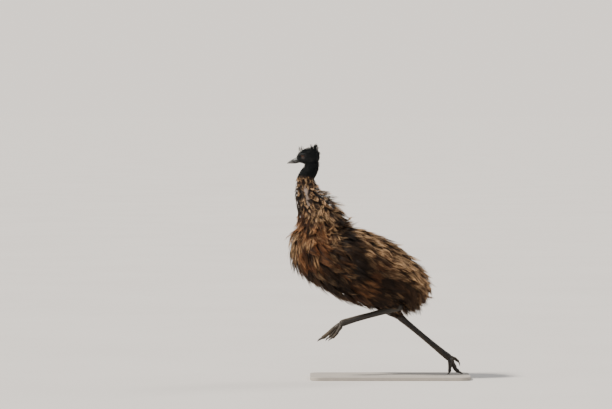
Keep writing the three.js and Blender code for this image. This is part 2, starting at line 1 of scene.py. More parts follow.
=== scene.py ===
"""Looks of a life-size running emu on a flat base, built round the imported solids.

The bird faces -X with its left side towards the camera. Body parts are rounded
forms, rings along a bent line, given in millimetres. They follow the solids, and are
a little fuller at the neck, the head, the bill and the feet.
"""

import math

import bmesh
import bpy
import numpy as np
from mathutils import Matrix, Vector
from mathutils.bvhtree import BVHTree


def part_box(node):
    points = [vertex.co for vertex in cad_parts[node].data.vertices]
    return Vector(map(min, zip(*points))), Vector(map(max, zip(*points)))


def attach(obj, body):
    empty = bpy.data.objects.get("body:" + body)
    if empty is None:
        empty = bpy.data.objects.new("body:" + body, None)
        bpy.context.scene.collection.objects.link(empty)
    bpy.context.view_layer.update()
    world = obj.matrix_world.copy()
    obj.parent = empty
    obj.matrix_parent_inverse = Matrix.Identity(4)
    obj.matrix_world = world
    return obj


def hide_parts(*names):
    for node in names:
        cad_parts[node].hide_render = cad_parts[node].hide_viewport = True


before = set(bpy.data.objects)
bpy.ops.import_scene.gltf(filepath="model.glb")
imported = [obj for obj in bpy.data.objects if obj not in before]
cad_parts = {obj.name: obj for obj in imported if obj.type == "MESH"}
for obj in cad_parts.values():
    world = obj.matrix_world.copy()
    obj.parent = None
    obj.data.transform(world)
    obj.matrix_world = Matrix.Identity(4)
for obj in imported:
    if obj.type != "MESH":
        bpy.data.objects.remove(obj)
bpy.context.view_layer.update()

MM = 0.001
TURN = 2 * math.pi
SIDES = {"left": -1, "right": 1}

# Stations of each form: x, (y,) z, then how far it reaches over, under and to the side.
# Over is the back of the body and neck, the rear of a leg and the sole of a toe.
TRUNK = (
    (-600, 868, 30, 30, 30), (-582, 862, 88, 75, 82), (-522, 838, 135, 130, 135),
    (-430, 800, 165, 172, 168), (-312, 754, 192, 197, 185), (-175, 704, 200, 214, 190),
    (-31, 650, 180, 180, 172), (94, 606, 122, 135, 132), (170, 580, 78, 85, 90),
    (215, 566, 26, 28, 34),
)
NECK = (
    (-484, 1366, 34, 34, 28), (-485, 1338, 38, 42, 33), (-494, 1308, 44, 47, 37),
    (-522, 1258, 48, 52, 39), (-534, 1191, 68, 53, 46), (-524, 1116, 102, 59, 60),
    (-491, 1041, 126, 82, 86), (-450, 960, 136, 120, 122), (-406, 879, 120, 130, 125),
    (-375, 830, 60, 60, 60),
)
HEAD = (
    (-592, 1366, 6, 8, 8), (-578, 1370, 20, 20, 18), (-548, 1380, 42, 36, 29),
    (-515, 1386, 50, 49, 35), (-485, 1385, 50, 54, 37), (-460, 1380, 38, 48, 32),
    (-445, 1375, 8, 13, 9),
)
BILL = (
    (-643, 1345.5, 1, 1.5, 1.5), (-638, 1347.5, 5.5, 3.5, 5.5), (-625, 1350.5, 11, 6, 10.5),
    (-605, 1354.5, 18, 10.5, 15.5), (-583, 1359.5, 23, 14, 18.5), (-556, 1366, 17, 12, 15),
)
MOUTH = ((-652, 1345.2), (-640, 1346.8), (-610, 1352), (-580, 1357.5), (-550, 1362), (-516, 1366))
EYE = {"x": -545, "z": 1393, "out": 20, "radius": 12.5}
CORNEA = 0.7
EAR = {"x": -497, "z": 1366}
NOSTRIL = {"x": -607, "z": 1364, "long": 5.6, "tall": 2.6, "deep": 3.2}
WING = (
    (-300, 146, 862, 14, 12, 8), (-280, 160, 840, 26, 24, 15), (-235, 182, 792, 31, 29, 18),
    (-192, 195, 742, 24, 22, 14), (-166, 197, 708, 10, 9, 8),
)
DRUMSTICKS = {
    "left": (
        (-235, -84, 612, 40, 40, 34), (-200, -86, 592, 74, 70, 58), (-120, -88, 548, 78, 74, 62),
        (-45, -86, 506, 60, 56, 48), (8, -83, 476, 37, 33, 31), (40, -81, 457, 25, 23, 23),
        (52, -80, 450, 16, 15, 16),
    ),
    "right": (
        (-155, 84, 602, 44, 44, 36), (-118, 83, 565, 76, 76, 60), (-50, 78, 497, 74, 70, 58),
        (8, 72, 439, 54, 50, 44), (44, 67, 403, 33, 30, 30), (62, 64, 385, 25, 23, 23),
        (70, 63, 377, 16, 15, 16),
    ),
}
SHANKS = {
    "left": (
        (78, -80, 461, 8, 8, 8), (66, -80, 456, 21, 20, 19), (44, -80, 448, 23, 22, 20),
        (5, -79, 436, 19, 18, 16), (-90, -78, 410, 17, 16, 13.5), (-190, -77, 383, 17, 17, 13.5),
        (-262, -76, 362, 19, 19, 17), (-298, -76, 350, 20, 20, 21), (-314, -76, 340, 12, 13, 15),
    ),
    "right": (
        (50, 65, 396, 8, 8, 8), (57, 64, 389, 20, 19, 18), (74, 62, 373, 22, 21, 20),
        (110, 59, 343, 18, 18, 16), (190, 52, 277, 16, 16, 13.5), (270, 44, 211, 16, 17, 13.5),
        (336, 38, 156, 19, 19, 17), (368, 35, 130, 21, 20, 21), (382, 34, 117, 13, 13, 15),
    ),
}
TOES = {
    "left": {
        "inner": (((-302, -62, 343), (-328, -53, 315), (-358, -48, 282), (-381, -45, 259)),
                  ((-396, -43, 249), (-403, -42, 235)), 11, 11),
        "middle": (((-306, -76, 346), (-348, -78, 318), (-394, -80, 280), (-428, -81, 256)),
                   ((-444, -82, 247), (-455, -82, 236)), 15, 16),
        "outer": (((-302, -90, 341), (-324, -103, 306), (-346, -110, 275), (-364, -113, 260)),
                  ((-377, -115, 252), (-387, -116, 241)), 11, 11),
    },
    "right": {
        "inner": (((372, 22, 124), (376, 14, 92), (375, 8, 58), (372, 5, 37)),
                  ((367, 4, 30), (362, 4, 24)), 12, 12),
        "middle": (((377, 34, 123), (396, 36, 88), (414, 38, 54), (434, 39, 38)),
                   ((448, 40, 32), (460, 40, 24)), 15, 16),
        "outer": (((376, 48, 128), (400, 62, 123), (423, 72, 108), (434, 77, 98)),
                  ((440, 79, 86), (441, 80, 68)), 10.5, 11),
    },
}
TOE_PADS = 3
TOE_NARROWS = 0.36
TOE_FULLER = 1.22
SHANK_FULLER = 0.8
STAND_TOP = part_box("stand_base")[1].z


def unit(vectors):
    return vectors / np.maximum(np.linalg.norm(vectors, axis=-1, keepdims=True), 1e-12)


def smooth(low, high, value):
    share = np.clip((value - low) / (high - low), 0, 1)
    return share * share * (3 - 2 * share)


def drift(points, size, seed):
    """A wander between about -1 and 1 over space, much the same for near neighbours."""
    rng = np.random.default_rng(seed)
    waves = rng.normal(size=(7, 3))
    waves *= (TURN / size) * rng.uniform(0.6, 1.4, (7, 1)) / np.linalg.norm(waves, axis=1)[:, None]
    return np.sin(points @ waves.T + rng.uniform(0, TURN, 7)).sum(1) / 3


class Form:
    """A rounded part: rings along a bent line, each with its own reach over, under and aside."""

    def __init__(self, stations, shrink=0.0, side=1):
        rows = np.array([row if len(row) == 6 else (row[0], 0, *row[1:]) for row in stations], float)
        rows *= MM
        rows[:, 1] *= side
        self.line = rows[:, :3]
        self.reach = np.maximum(rows[:, 3:] - shrink * MM, 0.3 * rows[:, 3:])

    def spans(self, rows, t):
        place = np.clip(t, 0, 1) * (len(rows) - 1)
        index = np.minimum(place.astype(int), len(rows) - 2)
        ends = np.vstack([2 * rows[0] - rows[1], rows, 2 * rows[-1] - rows[-2]])
        return [ends[index + k] for k in range(4)], (place - index)[:, None]

    def frame_at(self, t):
        (a, b, c, d), w = self.spans(self.line, t)
        steps = (b - a, c - b, d - c)
        ab, bc, cd = (np.sqrt(np.linalg.norm(step, axis=1))[:, None] for step in steps)
        leave = ((b - a) / ab - (c - a) / (ab + bc) + (c - b) / bc) * bc
        arrive = ((c - b) / bc - (d - b) / (bc + cd) + (d - c) / cd) * bc
        square, cube = 3 * (c - b) - 2 * leave - arrive, leave + arrive - 2 * (c - b)
        at = b + leave * w + square * w**2 + cube * w**3
        along = unit(leave + 2 * square * w + 3 * cube * w**2)
        across = np.array([0.0, 1.0, 0.0])
        side = unit(across - along * (along @ across)[:, None])
        over = np.cross(along, side)
        (a, b, c, d), w = self.spans(self.reach, t)
        reach = b + 0.5 * (c - a) * w + (a - 2.5 * b + 2 * c - 0.5 * d) * w**2
        reach = reach + (1.5 * (b - c) + 0.5 * (d - a)) * w**3
        return at, along, side, over, np.maximum(reach, 0.0003)

    def surface(self, t, angle, lift=0.0):
        at, _, side, over, reach = self.frame_at(t)
        up, out = np.cos(angle), np.sin(angle)
        tall = np.where(up > 0, reach[:, 0], reach[:, 1]) + lift
        return at + over * (up * tall)[:, None] + side * (out * (reach[:, 2] + lift))[:, None]

    def slopes(self, t, angle):
        step = 0.004
        back, ahead = np.clip(t - step, 0, 1), np.clip(t + step, 0, 1)
        down = (self.surface(ahead, angle) - self.surface(back, angle)) / (ahead - back)[:, None]
        round_ = (self.surface(t, angle + step) - self.surface(t, angle - step)) / (2 * step)
        return down, round_

    def outward(self, t, angle):
        down, round_ = self.slopes(t, angle)
        normal = unit(np.cross(down, round_))
        away = self.surface(t, angle) - self.frame_at(t)[0]
        return normal * np.where((normal * away).sum(1) < 0, -1, 1)[:, None]

    def tube(self, rings=60, around=40, lift=None):
        """Points and faces of the closed form, with a pole past each end."""
        t = np.repeat(np.linspace(0, 1, rings), around)
        angle = np.tile(np.arange(around) * TURN / around, rings)
        points = self.surface(t, angle)
        if lift is not None:
            points = points + self.outward(t, angle) * lift(t, angle, points)[:, None]
        at, along, _, _, reach = self.frame_at(np.array([0.0, 1.0]))
        poles = at + along * (np.array([-0.6, 0.6]) * reach.min(1))[:, None]
        points = np.vstack([points, poles])
        ends = end_faces(rings, around, len(points) - 2, len(points) - 1)
        return points, ring_faces(rings, around) + ends


def ring_faces(rings, around):
    """Faces between neighbouring rings of points."""
    faces = []
    for ring in range(rings - 1):
        for k in range(around):
            a, b = ring * around + k, ring * around + (k + 1) % around
            faces.append((a, a + around, b + around, b))
    return faces


def end_faces(rings, around, first, last):
    """Faces from the first and last ring to a pole each."""
    faces, start = [], (rings - 1) * around
    for k in range(around):
        after = (k + 1) % around
        faces += [(first, k, after), (last, start + after, start + k)]
    return faces


def linked(name, data):
    """An object of the scene that shows the given data."""
    made = bpy.data.objects.new(name, data)
    bpy.context.scene.collection.objects.link(made)
    return made


def joined(parts):
    """One set of points and faces from several."""
    points, faces, start = [], [], 0
    for part_points, part_faces in parts:
        points.append(part_points)
        faces.extend(tuple(start + i for i in face) for face in part_faces)
        start += len(part_points)
    return np.vstack(points), faces


def piece_of(name, points, faces, closed=True):
    """A smooth-shaded mesh object; a closed one gets its faces turned outwards."""
    mesh = bpy.data.meshes.new(name)
    mesh.from_pydata([tuple(p) for p in points], [], faces)
    if closed:
        work = bmesh.new()
        work.from_mesh(mesh)
        bmesh.ops.recalc_face_normals(work, faces=work.faces)
        work.to_mesh(mesh)
        work.free()
    mesh.polygons.foreach_set("use_smooth", [True] * len(mesh.polygons))
    return linked(name, mesh)


def settled(made):
    """Turns what the modifiers make of an object into its own plain mesh."""
    bpy.context.view_layer.update()
    result = bpy.data.meshes.new_from_object(made.evaluated_get(bpy.context.evaluated_depsgraph_get()))
    made.modifiers.clear()
    made.data = result
    result.polygons.foreach_set("use_smooth", [True] * len(result.polygons))
    return made


def fused(name, parts, grain, rounds):
    """Closed parts run together into one skin of the given grain, then smoothed."""
    made = piece_of(name, *joined(parts), closed=False)
    remesh = made.modifiers.new("fuse", "REMESH")
    remesh.mode = "VOXEL"
    remesh.voxel_size = grain * MM
    soften = made.modifiers.new("soften", "SMOOTH")
    soften.iterations = rounds
    soften.factor = 0.5
    return settled(made)


def points_of(mesh):
    flat = np.empty(len(mesh.vertices) * 3)
    mesh.vertices.foreach_get("co", flat)
    return flat.reshape(-1, 3)


def outward_of(mesh):
    flat = np.empty(len(mesh.vertices) * 3)
    mesh.vertex_normals.foreach_get("vector", flat)
    return flat.reshape(-1, 3)


def move_points(mesh, points):
    mesh.vertices.foreach_set("co", points.ravel())
    mesh.update()


class Underlay:
    """The fused body under the feathers, which they are combed over."""

    def __init__(self, made):
        mesh = made.data
        corners = [tuple(face.vertices) for face in mesh.polygons]
        self.tree = BVHTree.FromPolygons([tuple(p) for p in points_of(mesh)], corners)

    def height(self, points):
        found = [self.tree.find_nearest(Vector(point)) for point in points]
        nearest = np.array([tuple(hit[0]) for hit in found])
        outward = np.array([tuple(hit[1]) for hit in found])
        return ((points - nearest) * outward).sum(1), outward

    def clear(self, points, low, high):
        """Moves points to between low and high above the body, and says which way is out."""
        height, outward = self.height(points)
        wanted = np.clip(height, low, high)
        return points + outward * (wanted - height)[:, None], outward


def tint(mesh, colours):
    """Writes a colour for each point, which the finish reads as plume."""
    layer = mesh.color_attributes.new("plume", "FLOAT_COLOR", "POINT")
    layer.data.foreach_set("color", np.hstack([colours, np.ones((len(colours), 1))]).ravel())


# Markings, shared by the skin and the feathers, among them painted shade and painted light. Colours are
# linear.
# BLACK is the hood's dark colour; its blue-green tint is painted sheen.
BLACK = np.array([0.0009, 0.0024, 0.0030])
SOOT = np.array([0.011, 0.0062, 0.0036])
BROWN = np.array([0.066, 0.031, 0.014])
RUST = np.array([0.20, 0.074, 0.027])
# STRAW is the pale tip colour, partly the feathers' own and partly painted highlight.
STRAW = np.array([1.0, 0.63, 0.33])
BARE = np.array([0.72, 0.55, 0.45])
HOOD_EDGE = 1.262
# Painted shadow: a dark line down the front of the neck into the breast, where the near side of the neck is
# in shade.
NECK_SHADOW_LINE = np.array([(-0.597, 1.178), (-0.584, 1.100), (-0.560, 1.035), (-0.530, 0.965), (-0.505, 0.915)])
# Painted shadow: the dark gap behind the shoulder, under the mane.
SHOULDER_SHADOW = np.array([(-0.300, 0.985), (-0.250, 0.880), (-0.195, 0.750), (-0.185, 0.660)])
STRIPE = np.array([(-0.530, 1.203), (-0.524, 1.150), (-0.512, 1.090)])
# Painted highlight: a pale patch on the lower lid, just below the eye.
UNDER_EYE_HIGHLIGHT = np.array([0.10, 0.075, 0.068])
UNDER_EYE_HIGHLIGHT_AT = (-0.543, 1.3815)


def ridge_at(x):
    """Height of the line of the back."""
    return np.interp(x, [-0.60, -0.31, -0.175, -0.03, 0.10, 0.22], [1.0, 0.95, 0.90, 0.83, 0.73, 0.62])


def from_line(points, line):
    """Distance, seen from the side, from each point to a broken line."""
    flat = points[:, [0, 2]]
    best = np.full(len(flat), 9.0)
    for a, b in zip(line[:-1], line[1:]):
        along = b - a
        share = np.clip(((flat - a) @ along) / (along @ along), 0, 1)
        best = np.minimum(best, np.linalg.norm(flat - a - share[:, None] * along, axis=1))
    return best


def hood(points):
    """1 on the black head and upper neck, 0 below."""
    edge = HOOD_EDGE + 0.012 * drift(points, 0.05, 3) - 0.10 * (points[:, 0] + 0.52)
    return smooth(edge - 0.012, edge + 0.012, points[:, 2])


def stripe(points, outward):
    """1 on the bare stripe down each side of the neck."""
    width = 0.0110 + 0.003 * drift(points, 0.045, 4)
    near = 1 - smooth(width * 0.7, width * 1.15, from_line(points, STRIPE))
    broken = smooth(-1.1, -0.5, drift(points, 0.022, 6))
    return near * broken * smooth(0.45, 0.75, np.abs(outward[:, 1]))


def pale_tips_and_highlight(points, outward):
    """How pale the tips are, partly their own colour and partly painted highlight where light falls: the
    back and the neck most, the belly and the rear least, and little in the painted shadows.
    """
    x, z = points[:, 0], points[:, 2]
    back = smooth(-0.20, -0.02, z - ridge_at(x)) * (x > -0.42)
    neck = smooth(0.86, 1.02, z) * (x < -0.30)
    breast = 0.75 * smooth(-0.36, -0.50, x) * smooth(0.64, 0.78, z)
    pale = np.maximum(np.maximum(0.95 * back, neck), np.maximum(breast, 0.2))
    # Few pale tips in the painted shadow behind the shoulder.
    shoulder_shadow = (1 - smooth(0.025, 0.065, from_line(points, SHOULDER_SHADOW))) * smooth(0.02, 0.09, np.abs(points[:, 1]))
    pale = pale * (1 - 0.9 * shoulder_shadow)
    # Few pale tips in the painted shadow down the front of the neck.
    pale = pale * (1 - 0.9 * (1 - smooth(0.010, 0.024, from_line(points, NECK_SHADOW_LINE))))
    return pale * (1 - hood(points))


def rust_and_lit_strip(points):
    """Warm patches on the breast, the flank and the side of the neck, and a painted lit strip in front of
    the painted shadow line down the neck.
    """
    x, z = points[:, 0], points[:, 2]
    patches = smooth(-0.1, 0.75, drift(points, 0.16, 8) + 0.35 * drift(points, 0.06, 9))
    front = smooth(-0.30, -0.48, x) * smooth(1.12, 0.98, z)
    flank = 0.75 * smooth(0.86, 0.66, z) * smooth(0.10, -0.10, x)
    # Painted light: an orange lit strip just in front of the painted shadow down the neck.
    edge = 1 - smooth(0.02, 0.05, from_line(points, NECK_SHADOW_LINE - np.array([0.035, 0.0])))
    rust_and_light = 0.85 * patches * np.maximum(front, flank) + 0.4 * edge * (z < 1.12)
    return np.clip(rust_and_light, 0, 1) * (1 - hood(points))


def painted_shade(points):
    """Painted shade: the flank, belly and rear are darker than the back and the breast, and darkest in the
    shadow behind the shoulder.
    """
    x, z = points[:, 0], points[:, 2]
    below = smooth(0.10, 0.26, ridge_at(x) - z)
    # The painted shadow behind the shoulder darkens the feathers most.
    shoulder_shadow = (1 - smooth(0.02, 0.075, from_line(points, SHOULDER_SHADOW))) * smooth(0.03, 0.10, np.abs(points[:, 1]))
    flank, belly = below * smooth(-0.46, -0.30, x), smooth(0.72, 0.60, z) * (x < -0.30)
    return (1 - 0.72 * shoulder_shadow) * (1 - 0.55 * flank - 0.30 * belly)


def blend(first, second, share):
    return first + (second - first) * np.asarray(share)[:, None]


def skin_colour(points, outward):
    base = blend(blend(SOOT[None], RUST[None] * 0.35, 0.5 * rust_and_lit_strip(points)), BLACK[None], hood(points))
    base = blend(base, BARE[None], stripe(points, outward))
    # Painted highlight: the pale patch on the lower lid.
    lid = 1 - smooth(0.007, 0.014, np.hypot(points[:, 0] - UNDER_EYE_HIGHLIGHT_AT[0], points[:, 2] - UNDER_EYE_HIGHLIGHT_AT[1]))
    return blend(base, UNDER_EYE_HIGHLIGHT[None], 0.7 * lid)


# Coat: every feather is a few loose barbs, each a thin three-sided strand that tapers out.
BARB_RINGS = 4
BARB_SHAPE = np.array([0.45, 1.0, 0.85, 0.5])
BARB_THICK = 0.5
PATCH = 0.003
GOLDEN = 1.324717957244746
WHOLE = {"whole": lambda roots: np.full(len(roots), True)}


def scatter(form, count, span, seed, keep):
    """Roots spread evenly over a form."""
    rng = np.random.default_rng(seed)
    tries = np.arange(count * 6)
    t = span[0] + (span[1] - span[0]) * ((0.5 + tries / GOLDEN) % 1)
    angle = TURN * ((0.5 + tries / GOLDEN**2) % 1)
    down, round_ = form.slopes(t, angle)
    area = np.linalg.norm(np.cross(down, round_), axis=1)
    chance = area * keep(form.surface(t, angle), form.outward(t, angle))
    chance = chance / np.quantile(chance, 0.98)
    taken = np.flatnonzero(rng.random(len(t)) < chance)[:count]
    return t[taken], angle[taken]


def loose_at(points):
    """How far the feathers of the rump may hang clear of the body."""
    return smooth(0.03, 0.16, points[:, 0])


def combed(form, t, angle, coat, rng):
    """The path of each feather over the body, which way is out along it, and the lock it joins."""
    count, steps = len(t), coat["steps"]
    root, outward = form.surface(t, angle), form.outward(t, angle)
    leaders = np.arange(0, count, coat["lock"])
    batches = np.array_split(root, 1 + count // 500)
    lock = np.concatenate([((part[:, None] - root[leaders]) ** 2).sum(2).argmin(1) for part in batches])
    level = rng.uniform(coat["floor"], 1, len(leaders))
    layer = np.clip(level[lock] + rng.uniform(-0.25, 0.1, count), 0.05, 1)
    length = coat["length"](root, outward) * MM * (0.82 + 0.3 * rng.random(len(leaders)))[lock]
    length = length * rng.uniform(0.86, 1.08, count)
    depth = coat["depth"](root, outward) * MM
    bend = rng.normal(0, coat["sway"], (len(leaders), 3))[lock]
    bend = bend + rng.normal(0, coat["sway"] * 0.3, (count, 3))
    curl = coat["curl"] * rng.uniform(0.1, 1.6, len(leaders))[lock]
    stray = (rng.random(len(leaders)) < coat["stray"])[lock]
    point = root - outward * 0.003
    path, outs = [point], [outward]
    for step in range(1, steps + 1):
        share = step / steps
        heading = unit(coat["lie"](point, outward) + bend * (0.4 + share))
        flat = unit(heading - outward * (heading * outward).sum(1)[:, None])
        lift = np.where(stray, 0.7, coat["lift"]) * (1 - 0.7 * share) + curl * share**2
        away = unit(unit(flat + outward * lift[:, None]) * (1 - coat["hang"]) + heading * coat["hang"])
        point = point + away * (length / steps)[:, None]
        low = depth * layer * share**0.6
        room = np.where(stray, 0.75, 0.18) + 0.6 * curl
        high = low + depth * room * share + coat["loose"] * loose_at(point)
        point, outward = UNDERLAY.clear(point, low, high)
        path.append(point)
        outs.append(outward)
    path, outs = np.stack(path, 1), np.stack(outs, 1)
    pull = (coat["pull"] * np.linspace(0, 1, steps + 1) ** 1.3)[None, :, None]
    path = path * (1 - pull) + path[leaders][lock] * pull
    return path, outs, layer, length, lock


def barbs(path, outs, length, coat, rng):
    """Centre line, side and outward direction of every barb, with its share of the feather."""
    count, steps, number = len(path), coat["steps"], coat["barbs"]
    spread = np.linspace(-1, 1, number)[None] + rng.uniform(-0.25, 0.25, (count, number)) if number > 1 \
        else np.zeros((count, 1))
    reach = 1 - 0.30 * np.abs(spread) - rng.uniform(0, 0.22, (count, number))
    shares = np.linspace(0, 1, BARB_RINGS + 1) ** 0.9
    place = reach[..., None] * shares
    index = np.minimum((place * steps).astype(int), steps - 1)
    weight = (place * steps - index)[..., None]
    rows = np.arange(count)[:, None, None]
    centre = path[rows, index] * (1 - weight) + path[rows, index + 1] * weight
    out = unit(outs[rows, index] * (1 - weight) + outs[rows, index + 1] * weight)
    along = unit(path[rows, index + 1] - path[rows, index])
    side = unit(np.cross(along, out))
    out = np.cross(side, along)
    half = coat["half"] * MM * (length / length.mean())[:, None, None]
    wave = rng.uniform(0, TURN, (count, number, 1))
    swing = spread[..., None] * half * place**0.75 + 0.16 * half * np.sin(wave + 5 * place) * place
    rise = rng.uniform(-0.5, 0.6, (count, number, 1)) * half * 0.35 * place
    centre = centre + side * swing[..., None] + out * rise[..., None]
    shape = (count * number, BARB_RINGS + 1, 3)
    return centre.reshape(shape), side.reshape(shape), out.reshape(shape), place.reshape(shape[:2])


def coat_piece(name, centre, side, out, colours, feather_uv, widths):
    """One coat mesh from its barbs, with a small patch of the OFBake map for each feather."""
    count = len(centre)
    reach = (widths[:, None] * BARB_SHAPE)[..., None]
    middle, flank, rise = centre[:, :-1], side[:, :-1] * reach, out[:, :-1] * reach * BARB_THICK
    rings = np.stack([middle - flank, middle + flank, middle + rise], 2).reshape(count, -1, 3)
    points = np.concatenate([rings, centre[:, -1:]], 1)
    per = points.shape[1]
    quads = []
    for ring in range(BARB_RINGS - 1):
        for k in range(3):
            a, b = ring * 3 + k, ring * 3 + (k + 1) % 3
            quads.append((a, b, b + 3, a + 3))
    last = (BARB_RINGS - 1) * 3
    tris = [(last + k, last + (k + 1) % 3, per - 1) for k in range(3)] + [(2, 1, 0)]
    starts = (np.arange(count) * per)[:, None]
    corners = np.concatenate([
        (starts[..., None] + np.array(quads)).reshape(-1), (starts[..., None] + np.array(tris)).reshape(-1)
    ])
    sizes = np.concatenate([np.full(count * len(quads), 4), np.full(count * len(tris), 3)])
    mesh = bpy.data.meshes.new(name)
    mesh.vertices.add(count * per)
    mesh.vertices.foreach_set("co", points.ravel())
    mesh.loops.add(len(corners))
    mesh.loops.foreach_set("vertex_index", corners.astype(np.int32))
    mesh.polygons.add(len(sizes))
    mesh.polygons.foreach_set("loop_start", np.concatenate([[0], np.cumsum(sizes)[:-1]]).astype(np.int32))
    mesh.update(calc_edges=True)
    mesh.polygons.foreach_set("use_smooth", np.ones(len(sizes), bool))
    ring_colour = np.repeat(colours[:, :-1], 3, axis=1)
    tint(mesh, np.concatenate([ring_colour, colours[:, -1:]], 1).reshape(-1, 3))
    across = np.tile([0.0, 1.0, 0.5], BARB_RINGS)
    down = np.repeat(np.arange(BARB_RINGS) / BARB_RINGS, 3)
    local = np.append(np.stack([across, down], 1), [[0.5, 1.0]], 0)
    spots = feather_uv[:, None] + PATCH * local * np.array([0.15, 1.0])
    layer = mesh.uv_layers.new(name="OFBake")
    layer.data.foreach_set("uv", spots.reshape(-1, 2)[corners].astype(np.float32).ravel())
    return linked(name, mesh)


def feather_colours(path, outs, place, rng, number, layer, lock):
    """Colours along every barb: dark at the root, then brown or reddish brown, and a pale tip on some,
    partly painted highlight; painted shade darkens the barbs in shadow.
    """
    count = len(layer)
    middle = 0.5 * (path[:, 0] + path[:, -1])
    rust_and_lit = rust_and_lit_strip(middle)
    black = hood(0.4 * path[:, -1] + 0.6 * path[:, 0])
    # Painted shadow down the front of the neck, which darkens the tone below.
    neck_shadow = 1 - smooth(0.012, 0.030, from_line(middle, NECK_SHADOW_LINE))
    of_lock = rng.random((lock.max() + 1, 3))[lock]
    pale = pale_tips_and_highlight(middle, outs[:, 0])
    chance = of_lock[:, 0] + rng.uniform(-0.2, 0.2, count)
    pale = pale * smooth(0.62 - 0.55 * pale, 0.95 - 0.45 * pale, chance)
    pale = np.clip(pale * (0.45 + 0.75 * layer), 0, 1)
    tone = painted_shade(middle) * (0.45 + 1.1 * of_lock[:, 1] ** 1.5) * (1 - 0.7 * neck_shadow)
    tone = tone * rng.uniform(0.7, 1.3, count)
    tone = np.repeat(tone, number) * rng.uniform(0.55, 1.45, count * number)
    rust_and_lit = np.clip(rust_and_lit * (0.25 + 1.2 * of_lock[:, 2]), 0, 1)
    pale, rust_and_lit, black = (np.repeat(v, number) for v in (pale, rust_and_lit, black))
    ground = blend(BROWN[None], RUST[None], rust_and_lit) * tone[:, None]
    low = SOOT[None, None]
    share = smooth(0.25, 0.7, place)[..., None]
    colours = low + (ground[:, None] - low) * share
    neck = np.repeat(smooth(0.98, 1.10, middle[:, 2]), number)[:, None]
    # Pale tips, brighter on the neck: partly their own colour, partly painted highlight.
    start = rng.uniform(0.45, 0.72, count * number)[:, None] + 0.08 * neck
    bright = smooth(0.08, 0.45, rng.random(count * number))
    tip = smooth(start, start + 0.16, place) * (pale * bright)[:, None]
    straw = STRAW[None] * rng.uniform(0.65, 1.35, (count * number, 1))
    straw = blend(straw, straw * np.array([[1.0, 0.68, 0.45]]), 0.7 * rust_and_lit) * (1 + 0.3 * neck)
    colours = colours + (straw[:, None] - colours) * tip[..., None]
    dark = BLACK[None, None] * rng.uniform(0.7, 1.5, (count * number, 1, 1))
    return colours + (dark - colours) * black[:, None, None]


def grow_coat(name, form, coat, parts):
    """Grows one tract and parts it into pieces; parts maps a piece's name to a test of the roots."""
    rng = np.random.default_rng(coat["seed"])
    t, angle = scatter(form, coat["count"], coat["span"], coat["seed"], coat["keep"])
    shown = UNDERLAY.height(form.surface(t, angle))[0] > -0.012
    t, angle = t[shown], angle[shown]
    path, outs, layer, length, lock = combed(form, t, angle, coat, rng)
    number = coat["barbs"]
    centre, side, out, place = barbs(path, outs, length, coat, rng)
    shade = place / np.maximum(place[:, -1:], 1e-6)
    colours = feather_colours(path, outs, shade, rng, number, layer, lock)
    widths = coat["width"] * MM * rng.uniform(0.75, 1.2, len(centre))
    unwrap = np.stack([0.02 + 0.95 * t, 0.02 + 0.95 * (angle / TURN % 1)], 1)
    slots = np.tile(np.arange(number) / number * PATCH, len(t))
    uv = np.repeat(unwrap, number, 0) + np.stack([slots, np.zeros_like(slots)], 1)
    roots = path[:, 0]
    made = []
    for part, test in parts.items():
        chosen = np.repeat(test(roots), number)
        made.append(coat_piece(f"{name}_{part}", centre[chosen], side[chosen], out[chosen],
                               colours[chosen], uv[chosen], widths[chosen]))
    return made


def aside(points):
    return np.where(points[:, 1] < 0, -1.0, 1.0)


def headings(points, x, y, z):
    return np.stack([np.broadcast_to(part, len(points)) for part in (x, y, z)], 1).astype(float)


def lying(x, y, z):
    """Feathers that all lie the same way."""
    return lambda points, outward: headings(points, x, y, z)


def trunk_lie(points, outward):
    front = np.clip((-points[:, 0] - 0.33) / 0.25, 0, 1)
    parted = 0.35 * aside(points) * np.maximum(0, outward[:, 2])
    return headings(points, 0.9 - 0.75 * front, parted, -0.42 - 0.55 * front)


def neck_lie(points, outward):
    return headings(points, 0.3 + 0.45 * np.maximum(0, outward[:, 0]), 0.0, -1.0)


def tail_lie(points, outward):
    below = np.maximum(0, -outward[:, 2]) * smooth(0.0, 0.1, points[:, 0])
    return headings(points, 0.8 - 0.4 * below, 0.15 * aside(points), -0.6 - 0.5 * below)


def even(value):
    return lambda points, outward: np.full(len(points), float(value))


def trunk_depth(points, outward):
    belly = np.maximum(0, -outward[:, 2]) * smooth(-0.10, -0.25, points[:, 0])
    return 40 - 8 * np.abs(outward[:, 1]) + 8 * np.maximum(0, -outward[:, 0]) + 14 * belly


def tail_length(points, outward):
    return 168 - 52 * smooth(0.08, 0.22, points[:, 0])


def neck_depth(points, outward):
    z = points[:, 2]
    rear, front = np.maximum(0, outward[:, 0]), np.maximum(0, -outward[:, 0])
    mane = 76 * rear * smooth(0.92, 1.02, z)
    throat = front * (32 * smooth(1.08, 0.98, z) - 15)
    return 10 + smooth(1.255, 1.17, z) * (16 + mane + throat) + 12 * rear


def neck_length(points, outward):
    mane = np.maximum(0, outward[:, 0]) * smooth(1.22, 1.12, points[:, 2])
    return 42 + 92 * smooth(1.20, 0.92, points[:, 2]) + 26 * mane


def hood_depth(points, outward):
    return 4 + 13 * np.maximum(0, outward[:, 0]) * smooth(1.28, 1.35, points[:, 2])


def crest_lie(points, outward):
    return headings(points, 0.25 - 6.0 * (points[:, 0] + 0.48), 0.0, 1.0)


def head_length(points, outward):
    return 9 + 9 * smooth(-0.56, -0.47, points[:, 0]) + 14 * np.maximum(0, outward[:, 2])


def head_depth(points, outward):
    return 2.5 + 17 * np.maximum(0, outward[:, 2]) + 8 * np.maximum(0, outward[:, 0])


